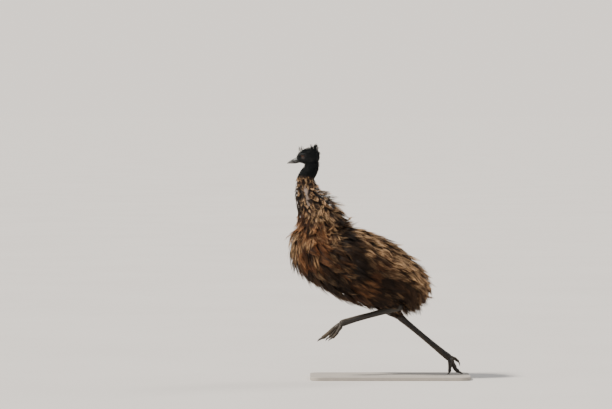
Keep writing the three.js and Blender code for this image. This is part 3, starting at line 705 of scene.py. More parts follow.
def gape_at(x):
    """Height of the line between the two halves of the bill, which runs on into the face."""
    return np.interp(x, [px * MM for px, _ in MOUTH], [pz * MM for _, pz in MOUTH])


def face_cover(points, outward):
    """Where the head is feathered: not on the lids, the lores by the gape, or the ear opening."""
    flat = points[:, [0, 2]]
    eye = np.hypot(flat[:, 0] - EYE["x"] * MM, (flat[:, 1] - EYE["z"] * MM) / 0.9)
    ear = np.hypot(flat[:, 0] - EAR["x"] * MM, flat[:, 1] - EAR["z"] * MM)
    gape = smooth(0.003, 0.008, np.abs(flat[:, 1] - gape_at(flat[:, 0]))) + (flat[:, 0] > -0.518)
    beside = np.abs(outward[:, 1]) > 0.35
    cover = np.where(beside, smooth(0.0125, 0.016, eye) * smooth(0.004, 0.0065, ear), 1.0)
    return cover * np.clip(gape, 0, 1)


def face_length(points, outward):
    return 5.5 + 9 * smooth(-0.566, -0.58, points[:, 0]) * np.maximum(0, outward[:, 2])


def on_crown(points, outward):
    """Where the crest grows: along the middle of the crown, most at its rear and at the forehead."""
    middle = (outward[:, 2] > 0.6) * (np.abs(points[:, 1]) < 0.02)
    rear, forehead = smooth(-0.505, -0.485, points[:, 0]), smooth(-0.545, -0.56, points[:, 0])
    return middle * (0.12 + rear + 0.8 * forehead)


# A tract's numbers: its feathers, the span along its form that they grow on, barbs to a feather,
# length, depth and the barbs' spread and width in mm. Lock is feathers to a lock and pull how
# closely it holds together. Floor is the lowest layer, lift how steeply a feather leaves the
# body, curl how far its end turns up, sway how much it wanders, stray the share of locks that
# stand off, hang how freely the ends hang, and loose how far they may hang clear of the rump.
COAT = {"barbs": 1, "steps": 6, "half": 1, "sway": 0.2, "hang": 0.0, "loose": 0.0,
        "keep": lambda points, outward: np.ones(len(points))}
TRUNK_COAT = COAT | {
    "seed": 101, "count": 4300, "span": (0.0, 0.80), "barbs": 6, "length": even(150),
    "depth": trunk_depth, "half": 10, "width": 1.7, "lie": trunk_lie, "lock": 4, "pull": 0.75,
    "floor": 0.35, "lift": 0.3, "curl": 0.3, "hang": 0.3, "stray": 0.10, "loose": 0.12,
}
TAIL_COAT = TRUNK_COAT | {
    "seed": 151, "count": 1000, "span": (0.74, 0.99), "length": tail_length, "lie": tail_lie,
    "stray": 0.12, "hang": 0.5,
}
NECK_COAT = COAT | {
    "seed": 201, "count": 3300, "span": (0.31, 0.95), "barbs": 4, "length": neck_length,
    "depth": neck_depth, "half": 6, "width": 1.25, "lie": neck_lie, "sway": 0.36, "lock": 4,
    "pull": 0.8, "floor": 0.4, "lift": 0.45, "curl": 0.8, "hang": 0.1, "stray": 0.12,
    "keep": lambda points, outward: 1 - 0.97 * stripe(points, outward),
}
HOOD_COAT = COAT | {
    "seed": 251, "count": 3000, "span": (0.03, 0.40), "steps": 4,
    "length": lambda points, outward: 15 + 16 * smooth(1.33, 1.25, points[:, 2]),
    "depth": hood_depth, "width": 0.9, "lie": lying(0.3, 0.0, -1.0), "sway": 0.25, "lock": 6, "pull": 0.6,
    "floor": 0.2, "lift": 0.25, "curl": 0.2, "stray": 0.05,
    "keep": lambda points, outward: 0.25 + 0.75 * hood(points),
}
WING_FEATHERS = TRUNK_COAT | {
    "seed": 301, "count": 330, "span": (0.04, 0.97), "length": even(140), "depth": even(20),
    "lie": lying(0.8, 0.0, -0.6),
}
DRUMSTICK_COAT = COAT | {
    "seed": 401, "count": 760, "span": (0.16, 0.90), "barbs": 5,
    "length": lambda points, outward: 58 + 46 * smooth(0.45, 0.56, points[:, 2]),
    "depth": lambda points, outward: 8 + 12 * smooth(0.42, 0.55, points[:, 2]), "half": 6,
    "width": 1.4, "lock": 5, "pull": 0.75, "floor": 0.3, "lift": 0.25, "curl": 0.25, "hang": 0.1,
    "stray": 0.08,
}
HEAD_COAT = COAT | {
    "seed": 501, "count": 3300, "span": (0.14, 0.995), "steps": 4,
    "length": head_length, "depth": head_depth, "width": 0.75, "lie": lying(1.0, 0.0, -0.12), "sway": 0.3,
    "lock": 7, "pull": 0.7, "floor": 0.2, "lift": 0.35, "curl": 0.3, "stray": 0.15,
    "keep": face_cover,
}
CREST = COAT | {
    "seed": 551, "count": 170, "span": (0.08, 0.9), "barbs": 4, "steps": 5,
    "length": lambda points, outward: 22 + 32 * smooth(-0.515, -0.485, points[:, 0]),
    "depth": even(50), "half": 2, "width": 0.8, "lie": crest_lie, "sway": 0.3, "lock": 9,
    "pull": 0.85, "floor": 0.0, "lift": 2.5, "curl": 0.3, "hang": 0.6, "stray": 0.6, "keep": on_crown,
}
FACE_COAT = HEAD_COAT | {
    "seed": 531, "count": 1700, "span": (0.03, 0.80), "length": face_length, "depth": even(0.9),
    "width": 0.38, "lift": 0.3, "stray": 0.02,
    "keep": lambda points, outward: 1.2 - face_cover(points, outward),
}


def drumstick_coat(side):
    line = Form(DRUMSTICKS[side]).line
    down = unit(line[-1] - line[0]) + np.array([0.15, 0, -0.1])
    return DRUMSTICK_COAT | {
        "seed": DRUMSTICK_COAT["seed"] + SIDES[side],
        "lie": lambda points, outward: np.broadcast_to(down, points.shape),
    }


# Finishes
class Value:
    """A socket of a node tree that can stand in a sum."""

    def __init__(self, nodes, socket):
        self.nodes, self.socket = nodes, socket

    def __add__(self, other):
        return self.nodes.maths("ADD", self, other)

    def __sub__(self, other):
        return self.nodes.maths("SUBTRACT", self, other)

    def __rsub__(self, other):
        return self.nodes.maths("SUBTRACT", other, self)

    def __mul__(self, other):
        return self.nodes.maths("MULTIPLY", self, other)

    __radd__ = __add__
    __rmul__ = __mul__


class Nodes:
    """Lays out a node tree: one method for every kind of node, and a few short ways to it."""

    def __init__(self, tree):
        self.tree = tree

    def node(self, kind, settings=None, inputs=None, output=0):
        made = self.tree.nodes.new(kind)
        for name, value in (settings or {}).items():
            if name == "stops":
                for stop, (place, colour) in zip(self.stops(made, len(value)), value):
                    stop.position = place
                    stop.color = (*colour, 1.0)
            else:
                setattr(made, name, value)
        for name, value in (inputs or {}).items():
            if isinstance(value, Value):
                self.tree.links.new(value.socket, made.inputs[name])
            else:
                made.inputs[name].default_value = value
        return Value(self, made.outputs[output]) if made.outputs else made

    @staticmethod
    def stops(ramp, count):
        elements = ramp.color_ramp.elements
        while len(elements) < count:
            elements.new(1.0)
        return elements

    def maths(self, operation, *values):
        return self.node("ShaderNodeMath", {"operation": operation}, dict(enumerate(values)))

    def within(self, low, high, value):
        """0 below low, 1 above high, and a smooth rise between them."""
        inputs = {"Value": value, "From Min": low, "From Max": high}
        return self.node("ShaderNodeMapRange", {"interpolation_type": "SMOOTHSTEP"}, inputs)

    def noise(self, place, scale, detail=3.0, rough=0.55):
        inputs = {"Vector": place, "Scale": scale, "Detail": detail, "Roughness": rough}
        return self.node("ShaderNodeTexNoise", {}, inputs)

    def cells(self, place, scale):
        """Distance to the edges of a pattern of cells."""
        inputs = {"Vector": place, "Scale": scale}
        return self.node("ShaderNodeTexVoronoi", {"feature": "DISTANCE_TO_EDGE"}, inputs, "Distance")

    def mix(self, share, first, second, blend_type="MIX"):
        settings = {"data_type": "RGBA", "blend_type": blend_type}
        return self.node("ShaderNodeMix", settings, {0: share, 6: first, 7: second}, 2)

    def stretched(self, place, *scale):
        inputs = {"Vector": place, "Scale": scale}
        return self.node("ShaderNodeMapping", {"vector_type": "POINT"}, inputs)

    def place(self):
        return self.node("ShaderNodeTexCoord", {}, {}, "Object")

    def part(self, vector, axis):
        return self.node("ShaderNodeSeparateXYZ", {}, {"Vector": vector}, axis)

    def shaded(self, shade):
        """The markings from the mesh, made lighter and darker by shade."""
        plume = self.node("ShaderNodeAttribute", {"attribute_name": "plume"}, {}, "Color")
        grey = self.node("ShaderNodeCombineColor", {}, {"Red": shade, "Green": shade, "Blue": shade})
        return self.mix(1.0, plume, grey, "MULTIPLY")

    def bump(self, height, distance, strength=1.0):
        inputs = {"Strength": strength, "Distance": distance, "Height": height}
        return self.node("ShaderNodeBump", {}, inputs)


def rgba(*colour):
    return (*colour, 1.0)


def finish_of(name, lay, **fixed):
    """A material: lay says what varies, and the fixed numbers are set on the shader itself."""
    material = bpy.data.materials.new(name)
    material.use_nodes = True
    material.node_tree.nodes.clear()
    nodes = Nodes(material.node_tree)
    varying = lay(nodes, nodes.place())
    shader = nodes.node("ShaderNodeBsdfPrincipled", {}, {**fixed, **varying})
    nodes.node("ShaderNodeOutputMaterial", {}, {"Surface": shader})
    return material


def feathers(nodes, place):
    streak = nodes.noise(nodes.stretched(place, 1.0, 1.0, 0.35), 420.0)
    patch = nodes.noise(place, 18.0, 2.0)
    return {
        "Base Color": nodes.shaded(0.62 + 0.5 * streak + 0.28 * patch),
        "Roughness": 0.48 + 0.2 * streak,
        "Normal": nodes.bump(streak, 0.0006, 0.5),
    }


def bare_skin(nodes, place):
    pebbles = nodes.within(0.0, 0.25, nodes.cells(place, 520.0))
    folds = nodes.noise(nodes.stretched(place, 60.0, 60.0, 320.0), 1.0)
    mottle = nodes.noise(place, 90.0)
    return {
        "Base Color": nodes.shaded(0.55 + 0.35 * pebbles + 0.35 * mottle),
        "Roughness": 0.62 - 0.15 * mottle,
        "Normal": nodes.bump(0.5 * pebbles + 0.5 * folds, 0.0007, 0.7),
    }


def scaly(nodes, place):
    crack = nodes.within(0.0, 0.16, nodes.cells(place, 260.0))
    wear = nodes.noise(place, 34.0, 4.0)
    dust = nodes.within(0.45, 0.75, nodes.noise(place, 11.0, 3.0))
    ground = nodes.mix(wear, rgba(0.011, 0.009, 0.008), rgba(0.040, 0.031, 0.024))
    # Painted light: the lower end and toes of the raised left leg are lit tan, mixed in with the real dust
    # patches.
    lit_foot = nodes.within(-0.28, -0.35, nodes.part(place, "X"))
    dust_and_light = nodes.mix(0.35 * dust + 0.45 * lit_foot * wear, ground, rgba(0.19, 0.135, 0.075))
    return {
        "Base Color": nodes.mix(crack, rgba(0.013, 0.011, 0.009), dust_and_light),
        "Roughness": 0.5 + 0.25 * dust - 0.12 * crack,
        "Normal": nodes.bump(crack + 0.4 * wear, 0.0006, 0.7),
    }


def scute_horn(nodes, place):
    wear = nodes.noise(place, 120.0, 4.0)
    patch = nodes.within(0.35, 0.7, nodes.noise(place, 16.0, 2.0))
    ground = nodes.mix(patch, rgba(0.014, 0.0115, 0.0095), rgba(0.048, 0.037, 0.028))
    return {
        "Base Color": nodes.mix(0.35 * wear, ground, rgba(0.14, 0.105, 0.068)),
        "Roughness": 0.42 + 0.25 * wear,
        "Normal": nodes.bump(wear, 0.0004, 0.6),
    }


def bill_horn(nodes, place):
    grain = nodes.noise(nodes.stretched(place, 60.0, 260.0, 420.0), 1.0, 4.0)
    height, length = nodes.part(place, "Z"), nodes.part(place, "X")
    # Painted highlight: pale grey on the top of the upper bill, strongest near its base.
    top_highlight = nodes.within(0.002, 0.016, height - (1.3565 + 0.17 * (length + 0.61)))
    ground = nodes.mix(0.6 * grain, rgba(0.006, 0.0058, 0.0056), rgba(0.026, 0.024, 0.022))
    base = nodes.within(-0.614, -0.592, length)
    return {
        "Base Color": nodes.mix(top_highlight * (0.12 + 0.88 * base), ground, rgba(0.20, 0.20, 0.20)),
        "Roughness": 0.40 + 0.28 * grain,
        "Normal": nodes.bump(grain, 0.0004, 0.6),
    }


def claw_horn(nodes, place):
    rings = nodes.noise(nodes.stretched(place, 150.0, 60.0, 150.0), 1.0, 4.0)
    wear = nodes.noise(place, 60.0)
    return {
        "Base Color": nodes.mix(rings * wear * 1.6, rgba(0.010, 0.0085, 0.0075), rgba(0.085, 0.068, 0.052)),
        "Roughness": 0.28 + 0.3 * rings,
        "Normal": nodes.bump(rings, 0.0004, 0.6),
    }


def eyeball(side):
    """Red-brown iris round a black pupil, dark at the rim; the gaze is straight out."""
    def lay(nodes, place):
        centre = (-EYE["x"] * MM, -side * EYE["out"] * MM, -EYE["z"] * MM)
        inputs = {"Vector": place, "Location": centre}
        moved = nodes.node("ShaderNodeMapping", {"vector_type": "POINT"}, inputs)
        flat = nodes.stretched(moved, 1.0, 0.0, 1.0)
        far = nodes.node("ShaderNodeVectorMath", {"operation": "LENGTH"}, {0: flat}, "Value")
        fibres = nodes.noise(moved, 900.0, 2.0)
        iris = nodes.mix(fibres, rgba(0.040, 0.013, 0.005), rgba(0.14, 0.048, 0.016))
        edge = nodes.within(0.0070, 0.0086, far)
        rimmed = nodes.mix(edge, iris, rgba(0.012, 0.008, 0.007))
        pupil = nodes.within(0.0051, 0.0046, far)
        return {
            "Base Color": nodes.mix(pupil, rimmed, rgba(0.002, 0.002, 0.002)),
            "Roughness": 0.06 + 0.1 * edge,
        }
    return lay


def plinth(nodes, place):
    sand = nodes.noise(place, 850.0, 2.0, 0.8)
    cloud = nodes.noise(place, 7.0, 4.0)
    ground = nodes.mix(cloud, rgba(0.33, 0.30, 0.27), rgba(0.46, 0.42, 0.37))
    return {
        "Base Color": nodes.mix(0.35 * sand, ground, rgba(0.62, 0.57, 0.50)),
        "Roughness": 0.62 + 0.2 * cloud,
        "Normal": nodes.bump(sand, 0.0004, 0.5),
    }


def pale_floor(nodes, place):
    cloud = nodes.noise(place, 0.6, 3.0)
    return {
        "Base Color": nodes.mix(cloud, rgba(0.70, 0.66, 0.62), rgba(0.78, 0.75, 0.71)),
        "Roughness": 0.8 + 0.1 * cloud,
    }


WET = {"Coat Weight": 0.35, "Coat Roughness": 0.02, "Specular IOR Level": 0.25}
FINISHES = {
    "feathers": finish_of("loose_feathers", feathers, **{"Specular IOR Level": 0.22}),
    "skin": finish_of("bare_skin", bare_skin, **{"Specular IOR Level": 0.4}),
    "leg": finish_of("scaly_leg", scaly, **{"Specular IOR Level": 0.35}),
    "scute": finish_of("scute_horn", scute_horn, **{"Specular IOR Level": 0.38}),
    "bill": finish_of("bill_horn", bill_horn, **{"Coat Weight": 0.08, "Coat Roughness": 0.3}),
    "claw": finish_of("claw_horn", claw_horn, **{"Coat Weight": 0.2, "Coat Roughness": 0.3}),
    "eye_left": finish_of("eye_left", eyeball(-1), **WET),
    "eye_right": finish_of("eye_right", eyeball(1), **WET),
    "stand": finish_of("sanded_plinth", plinth, **{"Specular IOR Level": 0.3}),
    "floor": finish_of("pale_floor", pale_floor, **{"Specular IOR Level": 0.2}),
}


def dress(made, finish, slot, *nodes):
    """Gives a piece its finish, and lets it stand for the solids that it covers. The slot is not used."""
    made.data.materials.clear()
    made.data.materials.append(FINISHES[finish])
    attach(made, "root")
    if nodes:
        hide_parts(*nodes)
    return made


# Skin of the body, neck, wings and drumsticks, inside the feathers' roots
SKIN_DEPTH = {"trunk": 12, "neck": 7, "wing": 4, "drumstick": 7}
body_parts = [Form(TRUNK, SKIN_DEPTH["trunk"]).tube(70, 56), Form(NECK, SKIN_DEPTH["neck"]).tube(70, 44)]
for side_name, side_sign in SIDES.items():
    body_parts.append(Form(WING, SKIN_DEPTH["wing"], side_sign).tube(24, 20))
    body_parts.append(Form(DRUMSTICKS[side_name], SKIN_DEPTH["drumstick"]).tube(40, 32))
body_skin = fused("emu_skin", body_parts, grain=7.0, rounds=6)

under_parts = [Form(TRUNK).tube(60, 40), Form(NECK).tube(60, 32), Form(HEAD).tube(30, 24)]
for side_name, side_sign in SIDES.items():
    under_parts.append(Form(WING, 0, side_sign).tube(20, 16))
    under_parts.append(Form(DRUMSTICKS[side_name]).tube(30, 24))
under_body = fused("under_body", under_parts, grain=8.0, rounds=6)
UNDERLAY = Underlay(under_body)
bpy.data.objects.remove(under_body)


def ring_tube(centre, side, radius, tube, tall, tilt=0.0, around=40, section=12):
    """A closed ring of skin that stands on the side of the head."""
    turn, roll = np.meshgrid(*(np.arange(n) * TURN / n for n in (around, section)), indexing="ij")
    far = radius + tube * np.cos(roll)
    x = centre[0] + far * np.cos(turn)
    z = centre[2] + far * np.sin(turn) * tall
    y = side * (centre[1] + tube * np.sin(roll) + tilt * np.cos(turn))
    points = np.stack([x, y, z], -1).reshape(-1, 3) * MM
    faces = []
    for i in range(around):
        for k in range(section):
            a, b = i * section + k, i * section + (k + 1) % section
            c, d = ((i + 1) % around) * section + (k + 1) % section, ((i + 1) % around) * section + k
            faces.append((a, b, c, d))
    return points, faces


UPPER_NECK = tuple(row for row in NECK if row[1] > 1180)
head_parts = [Form(HEAD, 1.0).tube(60, 48), Form(UPPER_NECK, 3.5).tube(50, 40)]
for side_sign in SIDES.values():
    socket, ear_hole = (EYE["x"], 28.2, EYE["z"]), (EAR["x"], 34.0, EAR["z"])
    head_parts.append(ring_tube(socket, side_sign, radius=10.8, tube=2.4, tall=0.9, tilt=-1.6))
    head_parts.append(ring_tube(ear_hole, side_sign, radius=6.0, tube=1.8, tall=1.1))
    brow = Form(((-572, 20 * side_sign, 1393, 3, 3, 3), (-560, 25.5 * side_sign, 1402, 5, 5, 5),
                 (-545, 27 * side_sign, 1406.5, 6, 6, 5.5), (-528, 29 * side_sign, 1405, 5.5, 5.5, 5),
                 (-512, 30 * side_sign, 1400, 3, 3, 3)))
    head_parts.append(brow.tube(20, 14))
head_skin = fused("head_skin", head_parts, grain=1.9, rounds=5)


def carve_head(points, outward):
    """Gape, ear opening, folds of the throat and fine wrinkles."""
    x, z = points[:, 0], points[:, 2]
    gape = np.exp(-(((z - gape_at(x)) / 0.0016) ** 2)) * smooth(-0.514, -0.522, x)
    gape = gape * (np.abs(points[:, 1]) > 0.004)
    ear = np.hypot(x - EAR["x"] * MM, z - EAR["z"] * MM)
    ear_dip = np.exp(-((ear / 0.0036) ** 2)) * (np.abs(outward[:, 1]) > 0.2)
    folds = np.sin(z * TURN / 0.0085 + 2.5 * drift(points, 0.05, 31)) * smooth(1.352, 1.335, z)
    wrinkle = drift(points, 0.007, 33)
    depth = -0.0013 * gape - 0.0042 * ear_dip + 0.00035 * folds + 0.00022 * wrinkle
    return points + outward * depth[:, None]


move_points(head_skin.data, carve_head(points_of(head_skin.data), outward_of(head_skin.data)))


def lid_shell(side, upper):
    """A lid: a thin closed shell over the eyeball, from its fold to its edge."""
    radius, thick = EYE["radius"] + 0.35, 1.1
    across, down = 33, 9
    turn = np.linspace(-1.25, 1.25, across)
    edge = 0.42 if upper else -0.60
    fold = 1.18 if upper else -1.18
    grid = []
    for k in range(down):
        share = k / (down - 1)
        rise = edge * np.cos(turn * 0.98) ** 0.6 * (1 - share) + fold * share
        rise = np.where(np.abs(turn) > 1.2, 0.12 * (1 - share) + rise * share, rise)
        grid.append(np.stack([np.sin(turn) * np.cos(rise), np.cos(turn) * np.cos(rise), np.sin(rise)], 1))
    sheet = np.array(grid)
    swell = np.ones((down, 1, 1))
    swell[0] += 0.035
    shells = [sheet * (radius + thick) * swell, sheet * radius]
    centre = np.array([EYE["x"], EYE["out"], EYE["z"]])
    points = np.concatenate([shell.reshape(-1, 3) + centre for shell in shells]) * MM
    points[:, 1] *= side
    faces, size = [], across * down
    for i in range(down - 1):
        for k in range(across - 1):
            a = i * across + k
            faces.append((a, a + 1, a + across + 1, a + across))
            faces.append((a + size, a + across + size, a + across + 1 + size, a + 1 + size))
    rim_line = list(range(across)) + [i * across + across - 1 for i in range(1, down)]
    rim_line += [(down - 1) * across + k for k in range(across - 2, -1, -1)]
    rim_line += [i * across for i in range(down - 2, 0, -1)]
    for a, b in zip(rim_line, rim_line[1:] + rim_line[:1]):
        faces.append((a, a + size, b + size, b))
    return points, faces


lids = piece_of("eyelids", *joined([lid_shell(s, upper) for s in SIDES.values() for upper in (True, False)]))

skins = [body_skin, head_skin, lids]
with bpy.context.temp_override(active_object=body_skin, selected_editable_objects=skins):
    bpy.ops.object.join()
tint(body_skin.data, skin_colour(points_of(body_skin.data), outward_of(body_skin.data)))
dress(body_skin, "skin", "dark_plumage", "head", "neck_upper", "neck", "torso", "tail",
      "wing_left", "wing_right", "drumstick_left", "drumstick_right")


def eye_shape(side, rings=30, around=48):
    """The eyeball with the clear bulge of the cornea."""
    polar = np.repeat(np.linspace(0.06, math.pi - 0.06, rings), around)
    turn = np.tile(np.arange(around) * TURN / around, rings)
    radius = EYE["radius"] + CORNEA * smooth(0.95, 0.35, polar)
    ball = np.stack([np.sin(polar) * np.cos(turn), np.cos(polar), np.sin(polar) * np.sin(turn)], 1)
    poles = [(0, EYE["radius"] + CORNEA, 0), (0, -EYE["radius"], 0)]
    ball = np.vstack([ball * radius[:, None], poles])
    ball = (ball + np.array([EYE["x"], EYE["out"], EYE["z"]])) * MM
    ball[:, 1] *= side
    return ball, ring_faces(rings, around) + end_faces(rings, around, rings * around, rings * around + 1)


for side_name, side_sign in SIDES.items():
    eyeball_piece = piece_of(f"eyeball_{side_name}", *eye_shape(side_sign))
    dress(eyeball_piece, f"eye_{side_name}", "eye", f"eye_{side_name}")


def bill_half(upper):
    """One half of the bill: arched rings from the tip to inside the face, flat along the mouth."""
    form = Form(BILL)
    rings, around = 120, 72
    t = np.linspace(0, 1, rings) ** 1.15
    at, _, _, _, reach = form.frame_at(t)
    at, reach = at / MM, reach / MM
    level = np.interp(at[:, 0], [x for x, _ in MOUTH], [z for _, z in MOUTH])
    gap = 0.35
    turn = np.linspace(0, math.pi, around)
    points = []
    for k in range(rings):
        wide = reach[k, 2] * (1.0 if upper else 0.9)
        if upper:
            tall = at[k, 2] + reach[k, 0] - level[k] - gap
            arch = np.sin(turn) ** 0.85 * tall + 0.07 * tall * np.exp(-(((turn - math.pi / 2) / 0.16) ** 2))
            base = level[k] + gap
            crown = base + arch
        else:
            tall = level[k] - gap - at[k, 2] + reach[k, 1]
            crown = level[k] - gap - np.sin(turn) ** 0.8 * max(tall, 0.8)
            base = level[k] - gap
        arc = np.stack([np.full(around, at[k, 0]), np.cos(turn) * wide, crown], 1)
        roof = np.stack([np.full(around - 2, at[k, 0]), -np.cos(turn[1:-1]) * wide,
                         np.full(around - 2, base)], 1)
        points.append(np.vstack([arc, roof]))
    points = np.array(points)
    if upper:
        for side in SIDES.values():
            place = (points - np.array([NOSTRIL["x"], 0, NOSTRIL["z"]]))
            far = np.sqrt((place[..., 0] / NOSTRIL["long"]) ** 2 + (place[..., 2] / NOSTRIL["tall"]) ** 2)
            near = (points[..., 1] * side > 3) & (points[..., 2] > level[:, None] + 2)
            rim_rise = 0.5 * np.exp(-(((far - 1.25) / 0.3) ** 2))
            dip = NOSTRIL["deep"] * (1 - smooth(0.55, 1.05, far)) - rim_rise
            points[..., 1] -= np.where(near, side * dip, 0)
    per = points.shape[1]
    flat = points.reshape(-1, 3)
    tip, back = points[0].mean(0), points[-1].mean(0)
    tip[0] -= 0.7
    back[0] += 4
    flat = np.vstack([flat, tip, back]) * MM
    return flat, ring_faces(rings, per) + end_faces(rings, per, len(flat) - 2, len(flat) - 1)


dress(piece_of("bill_top", *bill_half(True)), "bill", "bill", "bill_upper")
dress(piece_of("bill_bottom", *bill_half(False)), "bill", "bill", "bill_lower")


def toe_form(line, thick, wide):
    path = Form([(*p, 1, 1, 1) for p in line])
    t = np.linspace(0, 1, 13)
    centre = path.frame_at(t)[0] / MM
    size = (1 - TOE_NARROWS * t) * np.where((t == 0) | (t == 1), 0.6, 1.0)
    pad = 0.5 - 0.5 * np.cos(TURN * TOE_PADS * t)
    sole, aside_reach = thick * size * (0.86 + 0.2 * pad), wide * size * (0.88 + 0.12 * pad)
    reach = np.stack([sole, thick * size * 0.84, aside_reach], 1)
    return Form([tuple(row) for row in np.hstack([centre, reach])])


def claw_form(line, claw, thick, wide):
    p, (q, r) = np.array(line[-1], float), np.array(claw, float)
    back = p - 0.35 * (q - p)
    rows = [(*back, thick * 0.42, thick * 0.42, wide * 0.42), (*p, thick * 0.48, thick * 0.5, wide * 0.5),
            (*q, thick * 0.36, thick * 0.4, wide * 0.34), (*r, 0.6, 0.6, 0.6)]
    return Form(rows)


PLATE_SETTINGS = {"Height": 1.0, "Unevenness": 0.12}


def plates(name, spots, outward, heading, sizes, sections, rings):
    """Scales set on a leg by Geometry Nodes: one low rounded plate at every spot."""
    mesh = bpy.data.meshes.new(name)
    mesh.from_pydata([tuple(p) for p in spots], [], [])
    for label, values in (("facing", outward), ("heading", heading), ("reach", sizes)):
        layer = mesh.attributes.new(label, "FLOAT_VECTOR", "POINT")
        layer.data.foreach_set("vector", np.asarray(values, float).ravel())
    made = linked(name, mesh)
    tree = bpy.data.node_groups.new(name, "GeometryNodeTree")
    tree.interface.new_socket("Spots", in_out="INPUT", socket_type="NodeSocketGeometry")
    for label in PLATE_SETTINGS:
        tree.interface.new_socket(label, in_out="INPUT", socket_type="NodeSocketFloat")
    tree.interface.new_socket("Scales", in_out="OUTPUT", socket_type="NodeSocketGeometry")
    nodes = Nodes(tree)
    entry = tree.nodes.new("NodeGroupInput")
    spots_in, height, uneven = (Value(nodes, entry.outputs[k]) for k in range(3))

    def named(label):
        settings = {"data_type": "FLOAT_VECTOR"}
        return nodes.node("GeometryNodeInputNamedAttribute", settings, {"Name": label}, "Attribute")

    facing = nodes.node("FunctionNodeAlignRotationToVector", {"axis": "Z"}, {"Vector": named("facing")})
    turned = nodes.node("FunctionNodeAlignRotationToVector", {"axis": "X", "pivot_axis": "Z"},
                        {"Rotation": facing, "Vector": named("heading")})
    dome = nodes.node("GeometryNodeMeshUVSphere", {}, {"Segments": sections, "Rings": rings, "Radius": 1.0})
    flat = nodes.node("ShaderNodeCombineXYZ", {}, {"X": 1.0, "Y": 1.0, "Z": height})
    low = nodes.node("GeometryNodeTransform", {}, {"Geometry": dome, "Scale": flat})
    vary = nodes.node("FunctionNodeRandomValue", {"data_type": "FLOAT"},
                      {2: 1 - uneven, 3: 1 + uneven, "Seed": 7}, 1)
    scale = nodes.node("ShaderNodeVectorMath", {"operation": "SCALE"}, {0: named("reach"), "Scale": vary})
    dots = nodes.node("GeometryNodeMeshToPoints", {}, {"Mesh": spots_in})
    placed = nodes.node("GeometryNodeInstanceOnPoints", {},
                        {"Points": dots, "Instance": low, "Rotation": turned, "Scale": scale})
    whole = nodes.node("GeometryNodeRealizeInstances", {}, {"Geometry": placed})
    smoothed = nodes.node("GeometryNodeSetShadeSmooth", {}, {"Geometry": whole})
    done = nodes.node("GeometryNodeSetMaterial", {}, {"Geometry": smoothed, "Material": FINISHES["scute"]})
    leave = tree.nodes.new("NodeGroupOutput")
    tree.links.new(done.socket, leave.inputs[0])
    modifier = made.modifiers.new("scales", "NODES")
    modifier.node_group = tree
    for item in tree.interface.items_tree:
        if item.name in PLATE_SETTINGS:
            modifier[item.identifier] = PLATE_SETTINGS[item.name]
    return settled(made)


def plate_rows(form, span, arc, pitch, columns, reach, tilt):
    """Spots for scales in rows across a form, within an arc round its front or top."""
    at = form.frame_at(np.linspace(*span, 200))[0]
    steps = np.concatenate([[0], np.cumsum(np.linalg.norm(np.diff(at, axis=0), axis=1))])
    rows = np.interp(np.arange(0, steps[-1], pitch * MM), steps, np.linspace(*span, 200))
    t, angle = [], []
    for number, row in enumerate(rows):
        offset = 0.5 + (0.5 * (number % 2) if columns > 2 else 0.0)
        for k in range(columns):
            t.append(row)
            angle.append(arc[0] + (arc[1] - arc[0]) * (k + offset) / columns)
    t, angle = np.array(t), np.array(angle)
    outward, down = form.outward(t, angle), unit(form.slopes(t, angle)[0])
    leaning = unit(outward - down * tilt)
    sizes = np.tile(np.array(reach) * MM, (len(t), 1))
    return form.surface(t, angle) - outward * 0.0008, leaning, down, sizes


def pooled(rows):
    return [np.concatenate(part) for part in zip(*rows)]


FRONT = math.pi
SHIELD_ARC, TOE_SHIELD_ARC = 0.95, 0.75


def shields(shank, toes):
    """Spots of the broad plates down the front of the shank and along the top of each toe."""
    arc = (FRONT - SHIELD_ARC, FRONT + SHIELD_ARC)
    rows = [plate_rows(shank, (0.20, 0.92), arc, pitch=7.6, columns=2, reach=(5.4, 8.2, 1.7), tilt=0.10)]
    arc = (FRONT - TOE_SHIELD_ARC, FRONT + TOE_SHIELD_ARC)
    for name, toe in toes.items():
        size = (4.3, 7.0 if name == "middle" else 5.2, 1.5)
        rows.append(plate_rows(toe, (0.06, 0.94), arc, pitch=6.4, columns=1, reach=size, tilt=0.14))
    return pooled(rows)


def grains(shank, toes):
    """Spots of the small scales over the rest of the leg."""
    arc = (FRONT + SHIELD_ARC, TURN + FRONT - SHIELD_ARC)
    rows = [plate_rows(shank, (0.05, 0.95), arc, pitch=5.6, columns=13, reach=(3.2, 3.0, 1.2), tilt=0.1)]
    arc = (FRONT + 0.8, TURN + FRONT - 0.8)
    rows += [plate_rows(toe, (0.03, 0.97), arc, pitch=4.6, columns=9, reach=(2.7, 2.6, 1.1), tilt=0.1)
             for toe in toes.values()]
    return pooled(rows)


def claw_rings(t, angle, points):
    return 0.00025 * np.sin(t * 60) * smooth(0.9, 0.5, t)


def kept_above(points, lowest):
    """Presses what would sink into the stand flat on its top."""
    points[:, 2] = np.maximum(points[:, 2], lowest)
    return points


